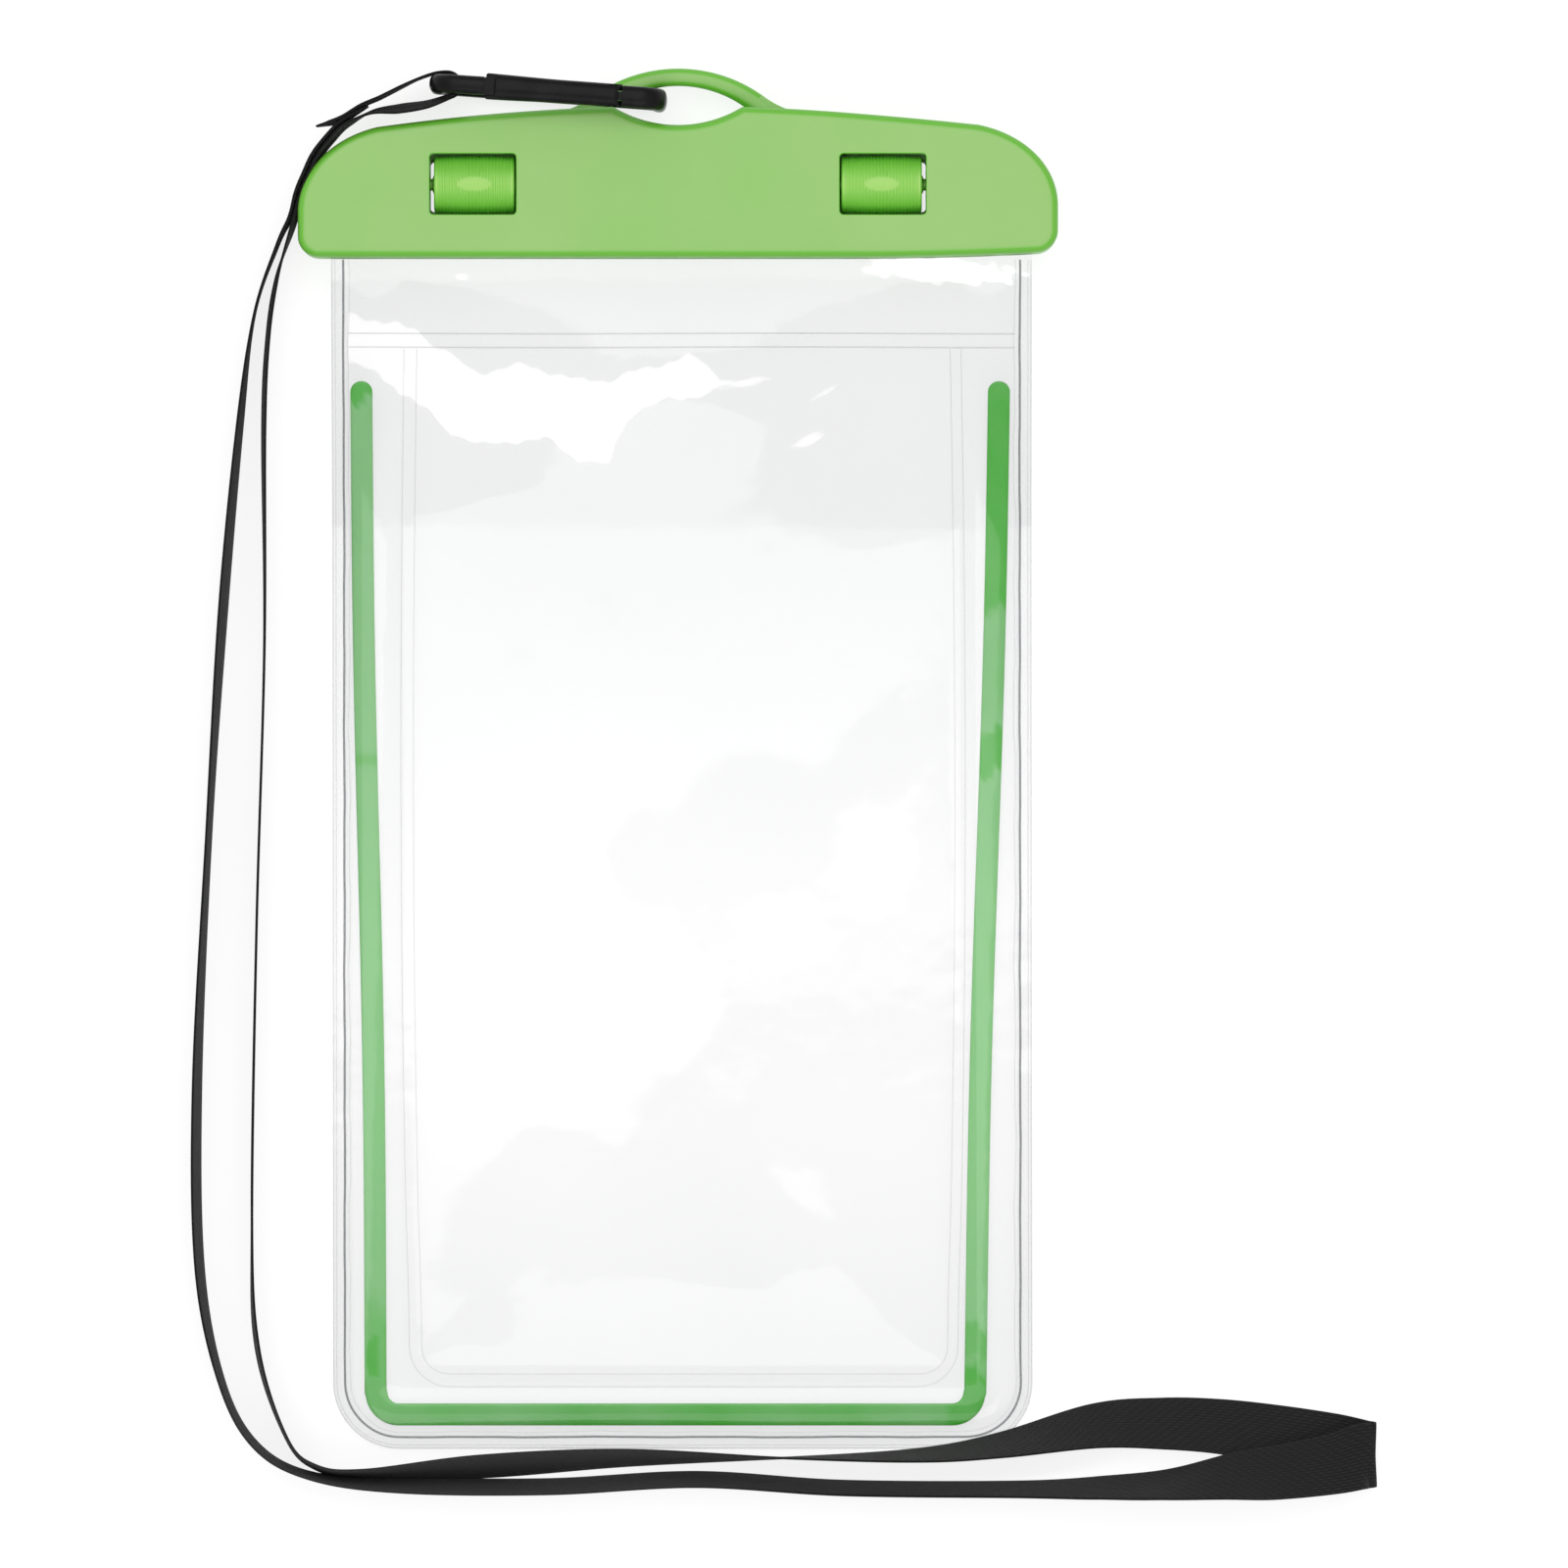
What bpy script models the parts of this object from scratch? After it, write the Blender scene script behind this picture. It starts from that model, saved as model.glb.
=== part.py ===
"""Waterproof phone pouch: clamp bar with two turning locks, clear welded bag, glow strip and webbing lanyard.

The pouch lies on its back. +X is its width, +Y points to the lanyard loop and +Z is up. The origin is under
the middle of the pouch, on the surface that it lies on. All sizes are in metres.
"""
import math

import bmesh
import bpy
import numpy as np
from mathutils import Matrix

# General
GAP = 0.0003                    # clearance between pieces that touch in the real pouch
POUCH_LENGTH = 0.2116           # top of the lanyard loop to the bottom of the bag

# Clamp bar, seen from the front
CLAMP_WIDTH = 0.1161
CLAMP_HEIGHT = 0.0231           # bottom edge to the crown of the top edge
CLAMP_SIDE_HEIGHT = 0.007       # straight part of each end
CLAMP_CORNER_RADIUS = 0.0032    # the two lower corners
TOP_EDGE_RADIUS = 0.327         # the top edge is a very flat arc
SHOULDER_RUN = 0.01705          # half axis of the elliptical shoulder, along X
SHOULDER_START = 0.29           # where the flat arc hands over to the shoulder, as a share of its half axis
REAR_JAW_THICKNESS = 0.00545
FRONT_JAW_THICKNESS = 0.00575
FRONT_EDGE_RADIUS = 0.0014
REAR_EDGE_RADIUS = 0.0010
JAW_WALL = 0.0020               # side wall of the moulded shells
JAW_SKIN = 0.0018               # face of the moulded shells
RIB_THICKNESS = 0.0012

# Lanyard loop, moulded on the rear jaw, and the lens-shaped eye under it
LOOP_RISE = 0.02925             # clamp's bottom edge to the top of the loop
LOOP_INNER_RADIUS = 0.0179
LOOP_ROD_WIDTH = 0.0027         # at the crown, seen from the front
LOOP_OUTER_RADIUS = 0.0220
LOOP_ROD_DEPTH = 0.0025
LOOP_BASE_DEPTH = 0.0001        # how far the rod stays under the parting face
LOOP_SPREAD = math.radians(50.0)
GUSSET_REACH = 0.0178           # where the root of the loop fades into the clamp's top edge
GUSSET_RISE = 0.0020
EYE_DIP_RADIUS = 0.0190         # lower edge of the eye, sunk into both jaws
EYE_DIP_HEIGHT = 0.0202

# Windows and the barrel knobs that turn in them
WINDOW_SPACING = 0.0626
WINDOW_HEIGHT_ABOVE_EDGE = 0.01115
WINDOW_WIDTH = 0.0132
WINDOW_HEIGHT = 0.0093
WINDOW_CORNER_RADIUS = 0.0006
WINDOW_FLARE = 0.0004
WINDOW_WALL = 0.0034
KNOB_CLEARANCE = 0.00035
KNOB_OUTER_GAP = 0.00105        # daylight at the outer end of each knob
KNOB_CROWN = 0.0005
KNOB_PROUD = 0.0002             # how far the barrel stands out of the front face
STUB_RADIUS = 0.0009
STUB_LENGTH = 0.0015
STUB_BOSS_RADIUS = 0.0014
STUB_BOSS_LENGTH = 0.0006
KEEPER_RADIUS = 0.00055
LOCK_TURN = math.radians(80.0)
GRIP_PITCH = 0.00075
GRIP_GROOVES = 12
GRIP_DEPTH = 0.0002
THUMB_SPOT_LENGTH = 0.0036      # half length of the smooth oval on the knob's crown
THUMB_SPOT_ANGLE = math.radians(22.0)

# Clamped band of film, under the windows
BAND_WALL = 0.0012
FILM_THICKNESS = 0.0004
SEAL_WIDTH = 0.0018
SEAL_THICKNESS = 0.0010
SEAL_HEIGHT_ABOVE_EDGE = 0.0028
SEAL_END_MARGIN = 0.0027

# Bag
BAG_WIDTH = 0.1068
BAG_CORNER_RADIUS = 0.0102
EDGE_WELD_WIDTH = 0.0016
CHANNEL_WIDTH = 0.0094          # between the edge weld and the inner weld, where the glow strip lies
CHANNEL_RISE = 0.0022
INNER_WELD_WIDTH = 0.0014
PILLOW_RISE = 0.0072            # air in the phone compartment
BAND_TO_CLAMP = 0.0125          # embossed band to the clamp's bottom edge
RISE_START = 0.0430             # how far below the clamp the film starts to climb to it

# Glow strip
STRIP_WIDTH = 0.0034
STRIP_THICKNESS = 0.0007
STRIP_CORNER_RADIUS = 0.0034
STRIP_TOP_BELOW_CLAMP = 0.0188
STRIP_EDGE_MARGIN_TOP = 0.0046  # bag edge to the strip's centre line, at its two ends
STRIP_EDGE_MARGIN_FOOT = 0.0076
STRIP_FOOT_MARGIN = 0.0053

# Spring hook, standing on edge through the eye
HOOK_LENGTH = 0.0363
HOOK_HEIGHT = 0.0172
HOOK_ROD_DEPTH = 0.0024
HOOK_ROD_WIDTH = 0.0032
HOOK_SOLE_WIDTH = 0.0026        # the ring is slimmer along the side that passes under the loop
HOOK_CORNER_RADIUS = 0.0032
HOOK_CENTRE_X = -0.0198
HOOK_ABOVE_CLAMP = 0.0021       # hook's centre line above the crown of the clamp's top edge
HOOK_TURN = math.radians(-4.2)
HOOK_LIFT = 0.0001
GATE_WIDTH = 0.0040
GATE_DEPTH = 0.0028
GATE_TIP = -0.0095              # along the hook, from its middle
GATE_CHAMFER = 0.0006
GATE_LAP = 0.0016
PIVOT_ALONG = 0.0099
PIVOT_PIN_RADIUS = 0.0005
TONGUE_THICKNESS = 0.0013

# Webbing
STRAP_WIDTH = 0.0100
STRAP_THICKNESS = 0.00065
STRAP_SAMPLES = 90

# Values that follow from the ones above
HALF_CLAMP = CLAMP_WIDTH / 2
HALF_BAG = BAG_WIDTH / 2
CLAMP_BOTTOM = POUCH_LENGTH / 2 - LOOP_RISE
BAG_BOTTOM = -POUCH_LENGTH / 2
PARTING_Z = REAR_JAW_THICKNESS
FRONT_BASE_Z = PARTING_Z + GAP
CLAMP_TOP_Z = FRONT_BASE_Z + FRONT_JAW_THICKNESS
WINDOW_X = WINDOW_SPACING / 2
WINDOW_Y = CLAMP_BOTTOM + WINDOW_HEIGHT_ABOVE_EDGE
KNOB_RADIUS = WINDOW_HEIGHT / 2 - KNOB_CLEARANCE
KNOB_LENGTH = WINDOW_WIDTH - KNOB_OUTER_GAP - KNOB_CLEARANCE
KNOB_AXIS_Z = CLAMP_TOP_Z + KNOB_PROUD - KNOB_RADIUS
KEEPER_Z = PARTING_Z - KEEPER_RADIUS
KEEPER_ORBIT = KNOB_AXIS_Z - KEEPER_Z
BAND_TOP = WINDOW_Y - WINDOW_HEIGHT / 2 - BAND_WALL
FILM_TOP = BAND_TOP - GAP
BACK_FILM_Z = PARTING_Z - FILM_THICKNESS
BAND_FLOOR_Z = BACK_FILM_Z - GAP
BAND_ROOF_Z = FRONT_BASE_Z + FILM_THICKNESS + GAP
COLLAR_BOTTOM = CLAMP_BOTTOM - BAND_TO_CLAMP
STRIP_TOP = CLAMP_BOTTOM - STRIP_TOP_BELOW_CLAMP
HOOK_CENTRE_Y = CLAMP_BOTTOM + CLAMP_HEIGHT + HOOK_ABOVE_CLAMP
HOOK_TOP_Z = HOOK_LIFT + HOOK_HEIGHT
PIVOT_Z = HOOK_TOP_Z - HOOK_ROD_DEPTH / 2
TONGUE_EYE_RADIUS = HOOK_ROD_DEPTH / 2

# Route of the webbing from its cut tail round the hook's end bar, down beside the bag, along its foot to
# the fold and back: centre (x, y, z) and the level part (x, y) of the direction across the webbing.
STRAP_ROUTE = [
    (-0.0552, 0.0965, 0.0069, 0.04, 0.06),
    (-0.0495, 0.0990, 0.0078, 0.05, 0.09),
    (-0.0424, 0.1033, 0.0085, 0.03, 0.06),
    (-0.0382, 0.1051, 0.0086, 0.00, 0.02),
    (-0.0359, 0.1056, 0.0087, 0.00, 0.00),
    (-0.0337, 0.1048, 0.0087, 0.02, 0.00),
    (-0.0323, 0.1030, 0.0087, 0.06, -0.03),
    (-0.0326, 0.1012, 0.0087, 0.08, -0.06),
    (-0.0347, 0.1002, 0.0087, 0.06, -0.10),
    (-0.0380, 0.0996, 0.0086, 0.04, -0.13),
    (-0.0430, 0.0988, 0.0083, 0.02, -0.15),
    (-0.0474, 0.0977, 0.0079, 0.02, -0.13),
    (-0.0508, 0.0958, 0.0073, 0.03, -0.06),
    (-0.0543, 0.0928, 0.0065, 0.02, -0.02),
    (-0.0571, 0.0899, 0.0060, 0.00, 0.00),
    (-0.0591, 0.0860, 0.0056, 0.00, 0.00),
    (-0.0597, 0.0800, 0.0053, 0.00, 0.00),
    (-0.0618, 0.0735, 0.0052, 0.00, 0.00),
    (-0.0631, 0.0640, 0.0052, 0.02, 0.00),
    (-0.0634, 0.0500, 0.0052, 0.04, 0.00),
    (-0.0633, 0.0170, 0.0052, 0.03, 0.00),
    (-0.0645, -0.0260, 0.0052, 0.00, 0.00),
    (-0.0652, -0.0700, 0.0052, 0.00, 0.00),
    (-0.0644, -0.0900, 0.0052, 0.02, 0.00),
    (-0.0600, -0.1037, 0.0052, 0.03, 0.03),
    (-0.0555, -0.1081, 0.0052, 0.02, 0.10),
    (-0.0480, -0.1090, 0.0052, 0.00, 0.13),
    (-0.0300, -0.1078, 0.0051, 0.00, 0.32),
    (-0.0078, -0.1070, 0.0051, 0.00, 0.24),
    (0.0177, -0.1071, 0.0055, 0.00, 0.00),
    (0.0372, -0.1066, 0.0069, 0.00, -0.12),
    (0.0500, -0.1049, 0.0071, 0.00, -0.32),
    (0.0642, -0.1021, 0.0051, 0.00, -0.65),
    (0.0743, -0.1018, 0.0041, 0.00, -0.78),
    (0.0830, -0.1023, 0.0031, 0.00, -0.84),
    (0.0915, -0.1036, 0.0025, 0.00, -0.91),
    (0.1001, -0.1052, 0.0016, 0.00, -0.98),
    (0.1046, -0.1063, 0.0012, 0.00, -1.00),
    (0.1066, -0.1066, 0.0027, 0.00, -1.00),
    (0.1044, -0.1069, 0.0042, 0.00, -0.99),
    (0.1001, -0.1080, 0.0055, 0.00, -0.88),
    (0.0915, -0.1092, 0.0080, 0.00, -0.77),
    (0.0830, -0.1098, 0.0106, 0.00, -0.65),
    (0.0743, -0.1109, 0.0098, 0.00, -0.45),
    (0.0657, -0.1114, 0.0078, 0.00, -0.34),
    (0.0522, -0.1118, 0.0055, 0.00, -0.22),
    (0.0252, -0.1116, 0.0051, 0.00, -0.17),
    (0.0027, -0.1103, 0.0051, 0.00, -0.19),
    (-0.0198, -0.1114, 0.0051, 0.00, -0.18),
    (-0.0423, -0.1114, 0.0051, 0.00, -0.16),
    (-0.0560, -0.1098, 0.0052, -0.02, -0.06),
    (-0.0645, -0.1052, 0.0052, -0.04, -0.03),
    (-0.0698, -0.0955, 0.0052, -0.06, 0.00),
    (-0.0732, -0.0780, 0.0052, -0.07, 0.00),
    (-0.0736, -0.0500, 0.0052, -0.08, 0.00),
    (-0.0718, -0.0115, 0.0052, -0.03, 0.00),
    (-0.0696, 0.0230, 0.0052, -0.03, 0.00),
    (-0.0670, 0.0515, 0.0052, -0.07, 0.00),
    (-0.0651, 0.0680, 0.0052, -0.04, 0.00),
    (-0.0620, 0.0785, 0.0052, 0.00, 0.00),
    (-0.0604, 0.0850, 0.0054, 0.00, 0.00),
    (-0.0581, 0.0905, 0.0060, 0.00, 0.00),
    (-0.0553, 0.0937, 0.0065, 0.00, 0.00),
    (-0.0517, 0.0967, 0.0073, 0.00, 0.00),
    (-0.0482, 0.0988, 0.0078, 0.00, 0.00),
]


def clear_scene():
    """Remove every object of the file this runs in."""
    for item in list(bpy.data.objects):
        bpy.data.objects.remove(item, do_unlink=True)


def material(name, color, roughness, metallic=0.0, alpha=1.0):
    """A Principled material with one plain colour."""
    mat = bpy.data.materials.new(name)
    mat.use_nodes = True
    shader = mat.node_tree.nodes["Principled BSDF"]
    shader.inputs["Base Color"].default_value = (*color, 1.0)
    shader.inputs["Roughness"].default_value = roughness
    shader.inputs["Metallic"].default_value = metallic
    shader.inputs["Alpha"].default_value = alpha
    mat.diffuse_color = (*color, alpha)
    return mat


def make(name, verts, faces, mat, location=(0.0, 0.0, 0.0)):
    """A mesh object with its faces turned outwards."""
    mesh = bpy.data.meshes.new(name)
    mesh.from_pydata([tuple(map(float, v)) for v in verts], [], faces)
    mesh.validate()
    work = bmesh_from(mesh)
    work.to_mesh(mesh)
    work.free()
    item = bpy.data.objects.new(name, mesh)
    item.location = location
    bpy.context.collection.objects.link(item)
    item.data.materials.append(mat)
    return item


def bmesh_from(mesh):
    """A bmesh of the mesh with consistent outward normals."""
    work = bmesh.new()
    work.from_mesh(mesh)
    bmesh.ops.recalc_face_normals(work, faces=work.faces)
    return work


def loft(name, rings, mat, location=(0.0, 0.0, 0.0), closed=False):
    """A solid through rings of equally many points, capped at both ends unless it closes on itself."""
    rings = [np.asarray(ring, dtype=float) for ring in rings]
    count = len(rings[0])
    verts = np.concatenate(rings)
    faces = []
    spans = len(rings) if closed else len(rings) - 1
    for k in range(spans):
        low = k * count
        high = ((k + 1) % len(rings)) * count
        for i in range(count):
            j = (i + 1) % count
            faces.append((low + i, low + j, high + j, high + i))
    if not closed:
        faces.append(tuple(range(count - 1, -1, -1)))
        faces.append(tuple(range(len(verts) - count, len(verts))))
    return make(name, verts, faces, mat, location)


def at_height(outline, z):
    """A flat outline lifted to a height."""
    return np.column_stack([outline, np.full(len(outline), z)])


def guide(item):
    """Mark a cutter or an added shape, which is no piece of its own."""
    item.hide_render = True
    item.display_type = "WIRE"
    return item


def combine(item, other, operation):
    """Boolean modifier that cuts the other shape out of the item, or joins it on."""
    modifier = item.modifiers.new(other.name, "BOOLEAN")
    modifier.operation = operation
    modifier.solver = "EXACT"
    modifier.object = guide(other)


def cut(item, other):
    combine(item, other, "DIFFERENCE")


def join(item, other):
    combine(item, other, "UNION")


def rounded_rectangle(x, y, width, height, radius, steps=4):
    """Outline of a rectangle with round corners, counter-clockwise."""
    points = []
    for corner in range(4):
        turn = corner * math.pi / 2
        sign_x = 1 if corner in (0, 3) else -1
        sign_y = 1 if corner in (0, 1) else -1
        for k in range(steps + 1):
            angle = turn + k / steps * math.pi / 2
            points.append((x + sign_x * (width / 2 - radius) + radius * math.cos(angle),
                           y + sign_y * (height / 2 - radius) + radius * math.sin(angle)))
    return np.array(points)


def block(name, low, high, mat):
    """A box between two corners."""
    outline = [(low[0], low[1]), (high[0], low[1]), (high[0], high[1]), (low[0], high[1])]
    return loft(name, [at_height(np.array(outline), low[2]), at_height(np.array(outline), high[2])], mat)


def rod(name, start, end, radius, mat, sides=16, location=(0.0, 0.0, 0.0)):
    """A round bar between two points."""
    return turned(name, start, end, [(0.0, radius), (1.0, radius)], mat, sides, location)


def turned(name, start, end, profile, mat, sides=16, location=(0.0, 0.0, 0.0)):
    """A turned shape: profile gives (share of the axis, radius) from start to end."""
    start = np.array(start, dtype=float)
    axis = np.array(end, dtype=float) - start
    side = np.cross(axis, (0.0, 0.0, 1.0) if abs(axis[2]) < 0.9 * np.linalg.norm(axis) else (1.0, 0.0, 0.0))
    side /= np.linalg.norm(side)
    up = np.cross(side, axis / np.linalg.norm(axis))
    angles = np.linspace(0.0, 2 * math.pi, sides, endpoint=False)
    circle = np.outer(np.cos(angles), side) + np.outer(np.sin(angles), up)
    rings = [start + share * axis + radius * circle for share, radius in profile]
    return loft(name, rings, mat, location)


def smooth_step(value, low, high):
    """0 below low, 1 above high and an S-curve between."""
    t = np.clip((value - low) / (high - low), 0.0, 1.0)
    return t * t * (3 - 2 * t)


def top_edge(x, inset):
    """Height of the clamp's flat top arc above its bottom edge, moved inwards by the inset."""
    return CLAMP_HEIGHT - inset - x * x / (2 * TOP_EDGE_RADIUS)


def shoulder_half_axis(inset):
    """Vertical half axis that lets the shoulder's ellipse meet the top arc."""
    join_x = HALF_CLAMP - SHOULDER_RUN + SHOULDER_START * (SHOULDER_RUN - inset)
    return (top_edge(join_x, inset) - CLAMP_SIDE_HEIGHT) / math.sqrt(1 - SHOULDER_START ** 2)


def dip_half_width(inset):
    """Where the eye's lower edge meets the top arc."""
    radius = EYE_DIP_RADIUS + inset
    x = 0.0
    for _ in range(20):
        x = math.sqrt(radius ** 2 - (EYE_DIP_HEIGHT + EYE_DIP_RADIUS - top_edge(x, inset)) ** 2)
    return x


def clamp_height_at(x, inset):
    """Height of the clamp's whole upper outline at x, moved inwards by the inset."""
    x = abs(x)
    run = SHOULDER_RUN - inset
    centre = HALF_CLAMP - SHOULDER_RUN
    if x < dip_half_width(inset):
        return EYE_DIP_HEIGHT + EYE_DIP_RADIUS - math.sqrt((EYE_DIP_RADIUS + inset) ** 2 - x * x)
    if x <= centre + SHOULDER_START * run:
        return top_edge(x, inset)
    share = min(1.0, (x - centre) / run)
    return CLAMP_SIDE_HEIGHT + shoulder_half_axis(inset) * math.sqrt(1 - share * share)


def clamp_outline(inset):
    """Outline of a jaw moved inwards by the inset, from the eye round the right side and back."""
    run = SHOULDER_RUN - inset
    centre = HALF_CLAMP - SHOULDER_RUN
    half_dip = dip_half_width(inset)
    xs = list(np.linspace(0.0, half_dip, 6))
    xs += list(np.linspace(half_dip, centre + SHOULDER_START * run, 6)[1:])
    start = math.asin(SHOULDER_START)
    xs += [centre + run * math.sin(a) for a in np.linspace(start, math.pi / 2, 9)[1:]]
    right = [(x, CLAMP_BOTTOM + clamp_height_at(x, inset)) for x in xs]
    radius = CLAMP_CORNER_RADIUS - inset
    corner = (HALF_CLAMP - CLAMP_CORNER_RADIUS, CLAMP_BOTTOM + CLAMP_CORNER_RADIUS)
    for angle in np.linspace(0.0, math.pi / 2, 5):
        right.append((corner[0] + radius * math.cos(angle), corner[1] - radius * math.sin(angle)))
    left = [(-x, y) for x, y in reversed(right[1:])]
    return np.array(right + left)


def rounded_plate(name, base_z, top_z, base_radius, top_radius, mat):
    """The clamp's outline as a plate with a quarter round along its lower or upper edge."""
    rings = []
    if base_radius:
        for angle in np.linspace(0.0, math.pi / 2, 4)[:-1]:
            inset = base_radius * (1 - math.sin(angle))
            rings.append(at_height(clamp_outline(inset), base_z + base_radius * (1 - math.cos(angle))))
    rings.append(at_height(clamp_outline(0.0), base_z + base_radius))
    rings.append(at_height(clamp_outline(0.0), top_z - top_radius))
    if top_radius:
        for angle in np.linspace(0.0, math.pi / 2, 5)[1:]:
            inset = top_radius * (1 - math.cos(angle))
            rings.append(at_height(clamp_outline(inset), top_z - top_radius * (1 - math.sin(angle))))
    return loft(name, rings, mat)


def window_cutter(name, x, low_z, high_z, flare, mat):
    """A window's opening, a little wider at the front face."""
    rings = []
    for z, grow in ((low_z, 0.0), (high_z - 3 * flare, 0.0), (high_z, flare), (high_z + GAP, flare)):
        outline = rounded_rectangle(x, WINDOW_Y, WINDOW_WIDTH + 2 * grow, WINDOW_HEIGHT + 2 * grow,
                                    WINDOW_CORNER_RADIUS + grow, 2)
        rings.append(at_height(outline, z))
    return loft(name, rings, mat)


def pocket(name, x_low, x_high, low_z, high_z, mat):
    """A core-out between two ribs, following the clamp's top edge inside its wall."""
    xs = np.linspace(x_low, x_high, 9)
    floor = BAND_TOP + RIB_THICKNESS
    outline = [(x_high, floor)] + [(x, CLAMP_BOTTOM + clamp_height_at(x, JAW_WALL)) for x in xs[::-1]]
    outline += [(x_low, floor)]
    return loft(name, [at_height(np.array(outline), low_z), at_height(np.array(outline), high_z)], mat)


def core_out(jaw, low_z, high_z, mat):
    """Hollow a jaw from its parting face, leaving walls, window frames and ribs."""
    frame = WINDOW_X - WINDOW_WIDTH / 2 - WINDOW_WALL
    outer = WINDOW_X + WINDOW_WIDTH / 2 + WINDOW_WALL
    half_rib = RIB_THICKNESS / 2
    spans = [(half_rib, frame), (outer, HALF_CLAMP - JAW_WALL)]
    for number, (near, far) in enumerate(spans):
        for side in (-1, 1):
            low, high = sorted((side * near, side * far))
            cut(jaw, pocket(f"{jaw.name}_pocket_{number}_{side}", low, high, low_z, high_z, mat))


def cut_film_band(jaw, low_z, high_z, groove_low, groove_high, mat):
    """Recess for the two films under the windows, with a groove for the seal."""
    half = HALF_BAG + GAP + JAW_WALL / 4
    cut(jaw, block(f"{jaw.name}_band", (-half, CLAMP_BOTTOM - GAP, low_z), (half, BAND_TOP, high_z), mat))
    middle = CLAMP_BOTTOM + SEAL_HEIGHT_ABOVE_EDGE
    reach = HALF_BAG - SEAL_END_MARGIN + GAP
    wide = SEAL_WIDTH / 2 + GAP
    cut(jaw, block(f"{jaw.name}_groove", (-reach, middle - wide, groove_low),
                   (reach, middle + wide, groove_high), mat))


def loop_rod(mat):
    """The arched rod of the lanyard loop, its section swelling from the crown to its roots."""
    inner_y = CLAMP_BOTTOM + LOOP_RISE - LOOP_ROD_WIDTH - LOOP_INNER_RADIUS
    outer_y = CLAMP_BOTTOM + LOOP_RISE - LOOP_OUTER_RADIUS
    middle_z = PARTING_Z - LOOP_BASE_DEPTH - LOOP_ROD_DEPTH / 2
    phase = np.linspace(0.0, 2 * math.pi, 12, endpoint=False)
    rings = []
    for angle in np.linspace(-LOOP_SPREAD, LOOP_SPREAD, 21):
        out = np.array((math.sin(angle), math.cos(angle)))
        inner = np.array((0.0, inner_y)) + LOOP_INNER_RADIUS * out
        outer = np.array((0.0, outer_y)) + LOOP_OUTER_RADIUS * out
        half = np.linalg.norm(outer - inner) / 2
        flat = (inner + outer) / 2 + np.outer(half * np.cos(phase), out)
        rings.append(np.column_stack([flat, middle_z + LOOP_ROD_DEPTH / 2 * np.sin(phase)]))
    return loft("loop_rod", rings, mat)


def loop_gusset(side, mat):
    """Hollow-curved web where the loop's leg runs out into the clamp's top edge."""
    leg_x = (GUSSET_REACH + 2 * (GUSSET_REACH - 2 * GUSSET_RISE)) / 3
    low = CLAMP_BOTTOM + top_edge(GUSSET_REACH, JAW_WALL)
    edge = CLAMP_BOTTOM + top_edge(GUSSET_REACH, 0.0)
    outline = [(leg_x - GUSSET_RISE / 2, low), (GUSSET_REACH, low)]
    for share in np.linspace(0.0, 1.0, 6):
        outline.append((GUSSET_REACH + share * (leg_x - GUSSET_REACH), edge + GUSSET_RISE * share * share))
    outline.append((leg_x - GUSSET_RISE / 2, edge + GUSSET_RISE))
    outline = np.array(outline) * (side, 1.0)
    top = PARTING_Z - 2 * LOOP_BASE_DEPTH
    return loft(f"loop_gusset_{side}", [at_height(outline, top - LOOP_ROD_DEPTH + 2 * LOOP_BASE_DEPTH),
                                        at_height(outline, top)], mat)


def build_rear_jaw(mat):
    jaw = rounded_plate("rear_jaw", 0.0, PARTING_Z, REAR_EDGE_RADIUS, 0.0, mat)
    join(jaw, loop_rod(mat))
    for side in (-1, 1):
        join(jaw, loop_gusset(side, mat))
    core_out(jaw, JAW_SKIN, PARTING_Z + GAP, mat)
    for side in (-1, 1):
        cut(jaw, window_cutter(f"rear_window_{side}", side * WINDOW_X, -GAP, PARTING_Z + GAP, 0.0, mat))
        reach = WINDOW_WIDTH / 2 + WINDOW_WALL / 2
        keeper = rod(f"keeper_{side}", (side * WINDOW_X - reach, WINDOW_Y, KEEPER_Z),
                     (side * WINDOW_X + reach, WINDOW_Y, KEEPER_Z), KEEPER_RADIUS, mat, 12)
        join(jaw, keeper)
    cut_film_band(jaw, BAND_FLOOR_Z, PARTING_Z + GAP, BAND_FLOOR_Z - SEAL_THICKNESS - GAP,
                  PARTING_Z + GAP, mat)
    return jaw


def swing_axis():
    """A point on the line that the front film bends about, on top of the embossed band."""
    top = front_height(np.array(0.0), np.array(COLLAR_BOTTOM)) + FILM_THICKNESS
    return (0.0, COLLAR_BOTTOM, float(top))


def turn_about(item, place):
    """Put the item's origin on its joint's axis and leave its shape where it is."""
    item.data.transform(Matrix.Translation([-value for value in place]))
    item.location = place
    return item


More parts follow.
